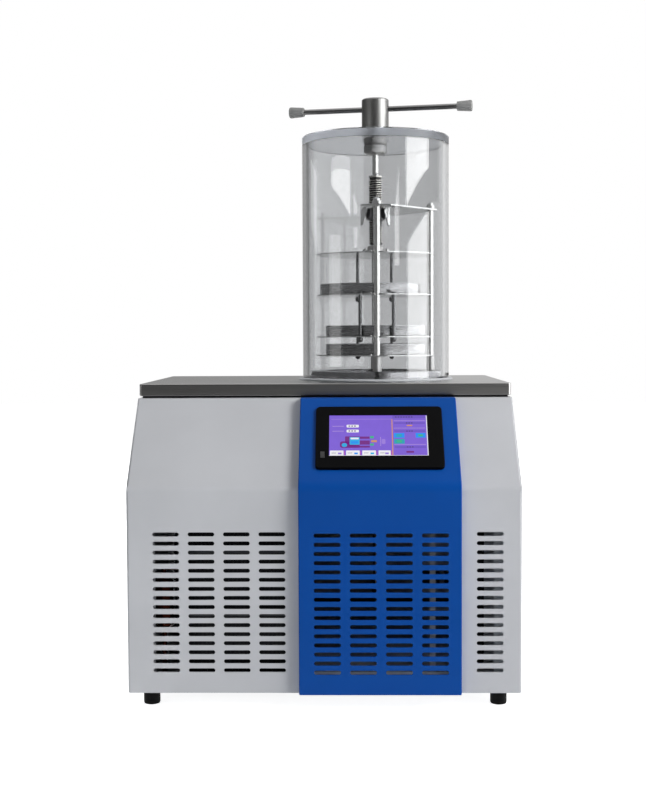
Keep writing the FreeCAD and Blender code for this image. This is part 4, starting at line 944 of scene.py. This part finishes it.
def picture(x0, s0, base):
    """A plain process page: values, a chamber diagram, and keys, as thin lit layers, with a painted highlight
    along the screen's right and lower rim.
    """
    bm = bmesh.new()
    names = list(PAINTS)
    wide, tall = SCREEN_W, SCREEN_H

    def tile(paint, u0, v0, u1, v1, layer, corner=0.0):
        """One painted rectangle, from (u0, v0) to (u1, v1) over the screen's lower left corner."""
        before = set(bm.faces)
        low = (x0 + u0, s0 + v0, base + 0.12 * layer)
        verts = block(bm, low, (x0 + u1, s0 + v1, base + 0.4 + 0.12 * layer), SLOPE_MATRIX)
        if corner:
            edges = [e for e in {e for v in verts for e in v.link_edges} if runs_along(e, SLOPE_NORMAL)]
            round_edges(bm, edges, corner, 4)
        for face in set(bm.faces) - before:
            face.material_index = names.index(paint)

    tile("field", 0, 0, wide, tall, 0)
    # painted highlight: the thin pale lines along the right and lower edges stand for light on the display's
    # rim, not for the page
    tile("paper", wide - 1.4, 0.0, wide, tall - 1.0, 1)
    tile("paper", 0, 0, wide - 1.4, 1.7, 1)
    tile("line", 3, tall - 8.2, 98, tall - 7.7, 1)
    tile("band", 100, tall - 6.5, 152, tall - 0.6, 1)
    for k in range(7):
        tile("ink", 104 + 4.2 * k, tall - 4.6, 106.6 + 4.2 * k, tall - 2.8, 2)
    tile("amber", 98.2, 1.5, 99.8, tall - 8, 1)
    for k in range(4):
        u = 1.2 + 25.2 * k
        end = u + (21.2 if k < 3 else 18.8)
        tile("paper", u, 1.0, end, 11.2, 1, 0.8)
        tile(("pale", "blue", "sky", "pale")[k], end - 8.5, 3.6, end - 3, 7.0, 2, 0.5)
        tile("ink", u + 2.5, 5.8, u + 9.5, 6.6, 2)
        tile("rose", end + 0.6, 2, end + 2.2, 10.4, 1)
    for row in range(2):
        v = 57.6 - 10.0 * row
        tile("paper", 27.3, v, 46.6, v + 5.4, 1, 1.2)
        tile("line", 5, v + 1.9, 23, v + 3.1, 1)
        for k in range(3):
            tile("ink", 30.4 + 4.4 * k, v + 1.6, 33 + 4.4 * k, v + 3.8, 2)
    tile("plum", 16.8, 16.7, 47.6, 29.5, 1, 4.0)
    tile("plum", 24.8, 16.7, 47.6, 39.4, 1, 1.5)
    for low, high in ((34.6, 39), (23, 31), (17, 20.5)):
        tile("plum", 46, low, 63.4, high, 1)
    tile("sky", 32, 22.7, 47.6, 37.9, 2, 0.8)
    tile("paper", 33.5, 33.4, 46.1, 36.6, 3)
    tile("blue", 34.2, 25, 45.4, 29.4, 3)
    tile("sky", 19.6, 18.2, 28, 25.8, 2, 3.7)
    tile("green", 64, 35.5, 69.7, 40, 1, 0.6)
    tile("amber", 65.7, 27.6, 74.6, 31.8, 1, 0.6)
    tile("green", 64, 20.9, 69.7, 25, 1, 0.6)
    tile("line", 80, 20, 81, 38, 1)
    tile("pale", 82, 24, 88, 34, 1, 2.0)
    for v in (70.5, 55.5, 22.5):
        tile("line", 101.5, v, 151, v + 1.0, 1)
    for v in (66, 49.5, 17.5):
        tile("band", 102, v - 1.6, 151, v + 2.2, 1)
        for k in range(3):
            tile("ink", 121 + 4 * k, v - 0.6, 123.4 + 4 * k, v + 1.3, 2)
    tile("amber", 122, 60, 131, 62.6, 1, 1.0)
    tile("blue", 101.5, 36.5, 118, 46, 1)
    tile("teal", 105, 38.5, 114, 43.5, 2)
    tile("blue", 135.5, 36.5, 151, 46, 1)
    tile("green", 139.5, 39, 147, 43, 2)
    tile("teal", 101.5, 24.6, 118, 34, 1)
    tile("green", 105.5, 26.8, 113.5, 31.4, 2)
    tile("plum", 120, 6.5, 132, 10, 1, 0.8)
    piece = finished("display_picture", bm, "machine", glow("lit_" + names[0], srgb(*PAINTS[names[0]])),
                     "hmi_screen")
    for name in names[1:]:
        piece.data.materials.append(glow("lit_" + name, srgb(*PAINTS[name])))


chamber()
collar()
gland()
drive()
lead_screw()
rack_guides()
rack_moving()
display()

# ---- carried-over nodes ----

FINISHES = {
    "base_pan": WHITE_COAT, "rear_panel": WHITE_COAT, "frame": FRAME_GREY, "condenser_frame": INNER_GREY,
    "plate_gasket": GASKET_GAP_SHADOW, "condenser": FINS, "fan_shroud": DARK_PAINT, "fan_motor": CAN_PAINT,
    "fan_rotor": DARK_PAINT, "compressor": CAN_PAINT, "compressor_mounts": RUBBER, "discharge_pipe": COPPER,
    "suction_pipe": FOAM, "filter_drier": COPPER, "electrical_box": BOX_PAINT, "trap_insulation": FOAM,
    "vacuum_port": TURNED, "drain_pipe": DARK_STEEL, "drain_valve": BRONZE, "drain_lever": LEVER_RED,
    "power_inlet": INLET, "switch_frame": INLET, "rocker_switch": ROCKER,
}
for name, material in FINISHES.items():
    node = frame["nodes"][name]
    for slot in node.material_slots:
        slot.material = material

# ---- studio ----

def seen_white(net):
    """1 for rays that see the backdrop itself, 0 for the light it gives."""
    def ray(kind):
        return net.node("LightPath", out=kind)
    total = ray("Is Camera Ray") + ray("Is Glossy Ray") + ray("Is Transmission Ray")
    return net.sum("MINIMUM", total, 1.0)


def stage_sheet(name, corners, surface_of):
    """A flat four-cornered sheet of the studio."""
    bm = bmesh.new()
    bm.faces.new([bm.verts.new(corner) for corner in corners])
    sheet = mesh_object(name, bm)
    material = bpy.data.materials.new(name)
    net = Net(material)
    net.node("OutputMaterial", Surface=surface_of(net))
    sheet.data.materials.append(material)
    return sheet


def reflected_sheet(name, corners, strength, inner=False):
    """A sheet that only shows as a reflection, or only in what stands inside the clear tube."""
    def only_reflected(net):
        seen = net.node("LightPath", out="Glossy Depth") > 0.5
        if inner:
            seen = seen * (net.node("LightPath", out="Transmission Depth") > 2.5)
        clear = net.node("BsdfTransparent", Color=(1, 1, 1))
        lit = net.node("Emission", Color=(1, 1, 1), Strength=strength)
        return net.node("MixShader", _0=seen, _1=clear, _2=lit)

    sheet = stage_sheet(name, corners, only_reflected)
    sheet.visible_camera = False
    sheet.visible_diffuse = False
    sheet.visible_shadow = False


WINDOW_REACH = 2.2
INNER_REACH = 2.0
FLAG_REACH = 4.2
FLAG_LOW = -0.3
CEILING = 3.6


def around(azimuth, reach):
    """Place on the floor at an azimuth round the chamber, in degrees from the front to the right."""
    turn = math.radians(azimuth)
    return AXIS_X * MM + reach * math.sin(turn), AXIS_Y * MM - reach * math.cos(turn)


def upright_sheet(name, near, far, lows, tops, strength, reach, inner=False):
    """Upright reflected sheet between two azimuths, with its lower and upper height at each."""
    (x0, y0), (x1, y1) = around(near, reach), around(far, reach)
    corners = [(x0, y0, lows[0]), (x1, y1, lows[1]), (x1, y1, tops[1]), (x0, y0, tops[0])]
    reflected_sheet(name, corners, strength, inner)


def studio():
    """White backdrop and floor, sheets that only reflections show, and the lamps."""
    world = bpy.data.worlds.new("studio")
    bpy.context.scene.world = world
    net = Net(world)
    fill = 0.2
    light = net.node("Background", Color=(1, 1, 1), Strength=seen_white(net) * (1 - fill) + fill)
    net.node("OutputWorld", Surface=light)

    def floor_surface(net):
        matt = net.node("BsdfDiffuse", Color=(0.86, 0.86, 0.86))
        bright = net.node("Emission", Color=(1, 1, 1), Strength=seen_white(net) * 0.85)
        return net.node("AddShader", _0=matt, _1=bright)

    stage_sheet("floor", [(-9, -9, 0), (9, -9, 0), (9, 9, 0), (-9, 9, 0)], floor_surface)
    for name, start, end, low, top, strength in (
            ("front_flag", -80, 12, FLAG_LOW, CEILING, 0.10),
            ("left_flag", -140, -80, FLAG_LOW, CEILING, 0.09),
            ("left_rear_flag", -180, -140, FLAG_LOW, CEILING, 0.45),
            ("right_flag", 12, 92, FLAG_LOW, CEILING, 0.18),
            ("right_rear_flag", 92, 116, 1.2, CEILING, 0.3),
            ("rear_flag", 144, 180, 0.4, CEILING, 0.8),
            ("right_low_flag", 92, 136, FLAG_LOW, 0.4, 0.1),
            ("rear_low_flag", 136, 180, FLAG_LOW, 0.4, 0.1)):
        upright_sheet(name, start, end, (low, low), (top, top), strength, FLAG_REACH)
    for name, left, right, strength in (
            ("floor_flag_left", -4, 0.35, 0.36), ("floor_flag_right", 0.35, 4, 1.0)):
        corners = [(left, -4.1), (right, -4.1), (right, -0.6), (left, -0.6)]
        reflected_sheet(name, [(x, y, 0.01) for x, y in corners], strength)
    for name, start, end, strength in (
            ("inner_left", -150, -65, 0.45), ("inner_front", -65, 20, 0.45), ("inner_right", 20, 85, 4.6),
            ("inner_right_rear", 85, 145, 4.2), ("inner_rear", 145, 210, 0.9)):
        upright_sheet(name, start, end, (FLAG_LOW, FLAG_LOW), (3, 3), strength, INNER_REACH, True)
    corners = [(-4.2, -4.2), (4.2, -4.2), (4.2, 3.6), (-4.2, 3.6)]
    reflected_sheet("top_flag", [(x, y, CEILING) for x, y in corners], 1.3)
    for name, near, far, lows, tops, strength in (
            ("right_window", 47, 88, (0.99, 1.12), (2.6, 2.6), 8.0),
            ("right_lower_window", 49, 88, (FLAG_LOW, FLAG_LOW), (0.87, 0.98), 6.0),
            ("right_strip", 117, 144, (0.44, 0.44), (1.8, 1.8), 1.0),
            ("left_window", -40, -72, (0.96, 1.06), (1.104, 1.104), 5.5),
            ("left_pane", -40, -72, (1.104, 1.104), (1.146, 1.146), 2.5),
            ("left_lower_window", -56, -76, (0.475, 0.475), (0.90, 0.90), 1.9),
            ("left_slit", -28.5, -34.5, (0.968, 0.968), (0.99, 1.04), 3.0),
            ("left_low_slit", -28.5, -34.5, (0.858, 0.858), (0.922, 0.922), 2.4),
            ("right_slit", 28, 35, (0.80, 0.80), (0.98, 1.12), 4.0),
            ("left_strip", -103, -119, (0.84, 0.94), (1.10, 1.16), 1.2)):
        upright_sheet(name, near, far, lows, tops, strength, WINDOW_REACH)
    lamp("key", (3.9, -2.55, 2.9), (0.05, 0.0, 0.45), 2.2, 196.0)
    lamp("rear", (-2.0, 2.7, 2.0), (0.0, 0.2, 0.4), 1.6, 80.0)
    lamp("fill", (-1.0, -2.8, 0.5), (0.0, 0.0, 0.3), 1.2, 7.0, (0.80, 0.92, 1.0))


def lamp(name, place, target, size, power, colour=(1, 1, 1)):
    """Soft lamp aimed at a target, left out of reflections and of what shines through the tube."""
    light = bpy.data.lights.new(name, "AREA")
    light.size = size
    light.energy = power
    light.color = colour
    holder = in_scene(name, light)
    holder.location = place
    holder.rotation_euler = (Vector(target) - Vector(place)).to_track_quat("-Z", "Y").to_euler()
    holder.visible_glossy = False
    holder.visible_transmission = False


CAMERA_PLACE = (0.0383, -2.3591, 0.5794)
CAMERA_TURN = (1.07, -2.78, 0.25)  # degrees: to the left, up, and round the line of sight
CAMERA_LENS = 60.75


def camera():
    """Camera in front of the machine, a little above the worktop."""
    yaw, pitch, roll = (math.radians(a) for a in CAMERA_TURN)
    ahead = Vector((-math.sin(yaw) * math.cos(pitch), math.cos(yaw) * math.cos(pitch), math.sin(pitch)))
    right = ahead.cross(Vector((0, 0, 1))).normalized()
    axes = Matrix((right, right.cross(ahead), -ahead)).transposed().to_4x4()
    data = bpy.data.cameras.new("camera")
    data.sensor_fit = "VERTICAL"
    data.sensor_height = 36.0
    data.lens = CAMERA_LENS
    holder = in_scene("camera", data)
    holder.matrix_world = Matrix.Translation(CAMERA_PLACE) @ axes @ Matrix.Rotation(-roll, 4, "Z")
    bpy.context.scene.camera = holder


studio()
camera()
bpy.context.scene.view_settings.view_transform = "Standard"
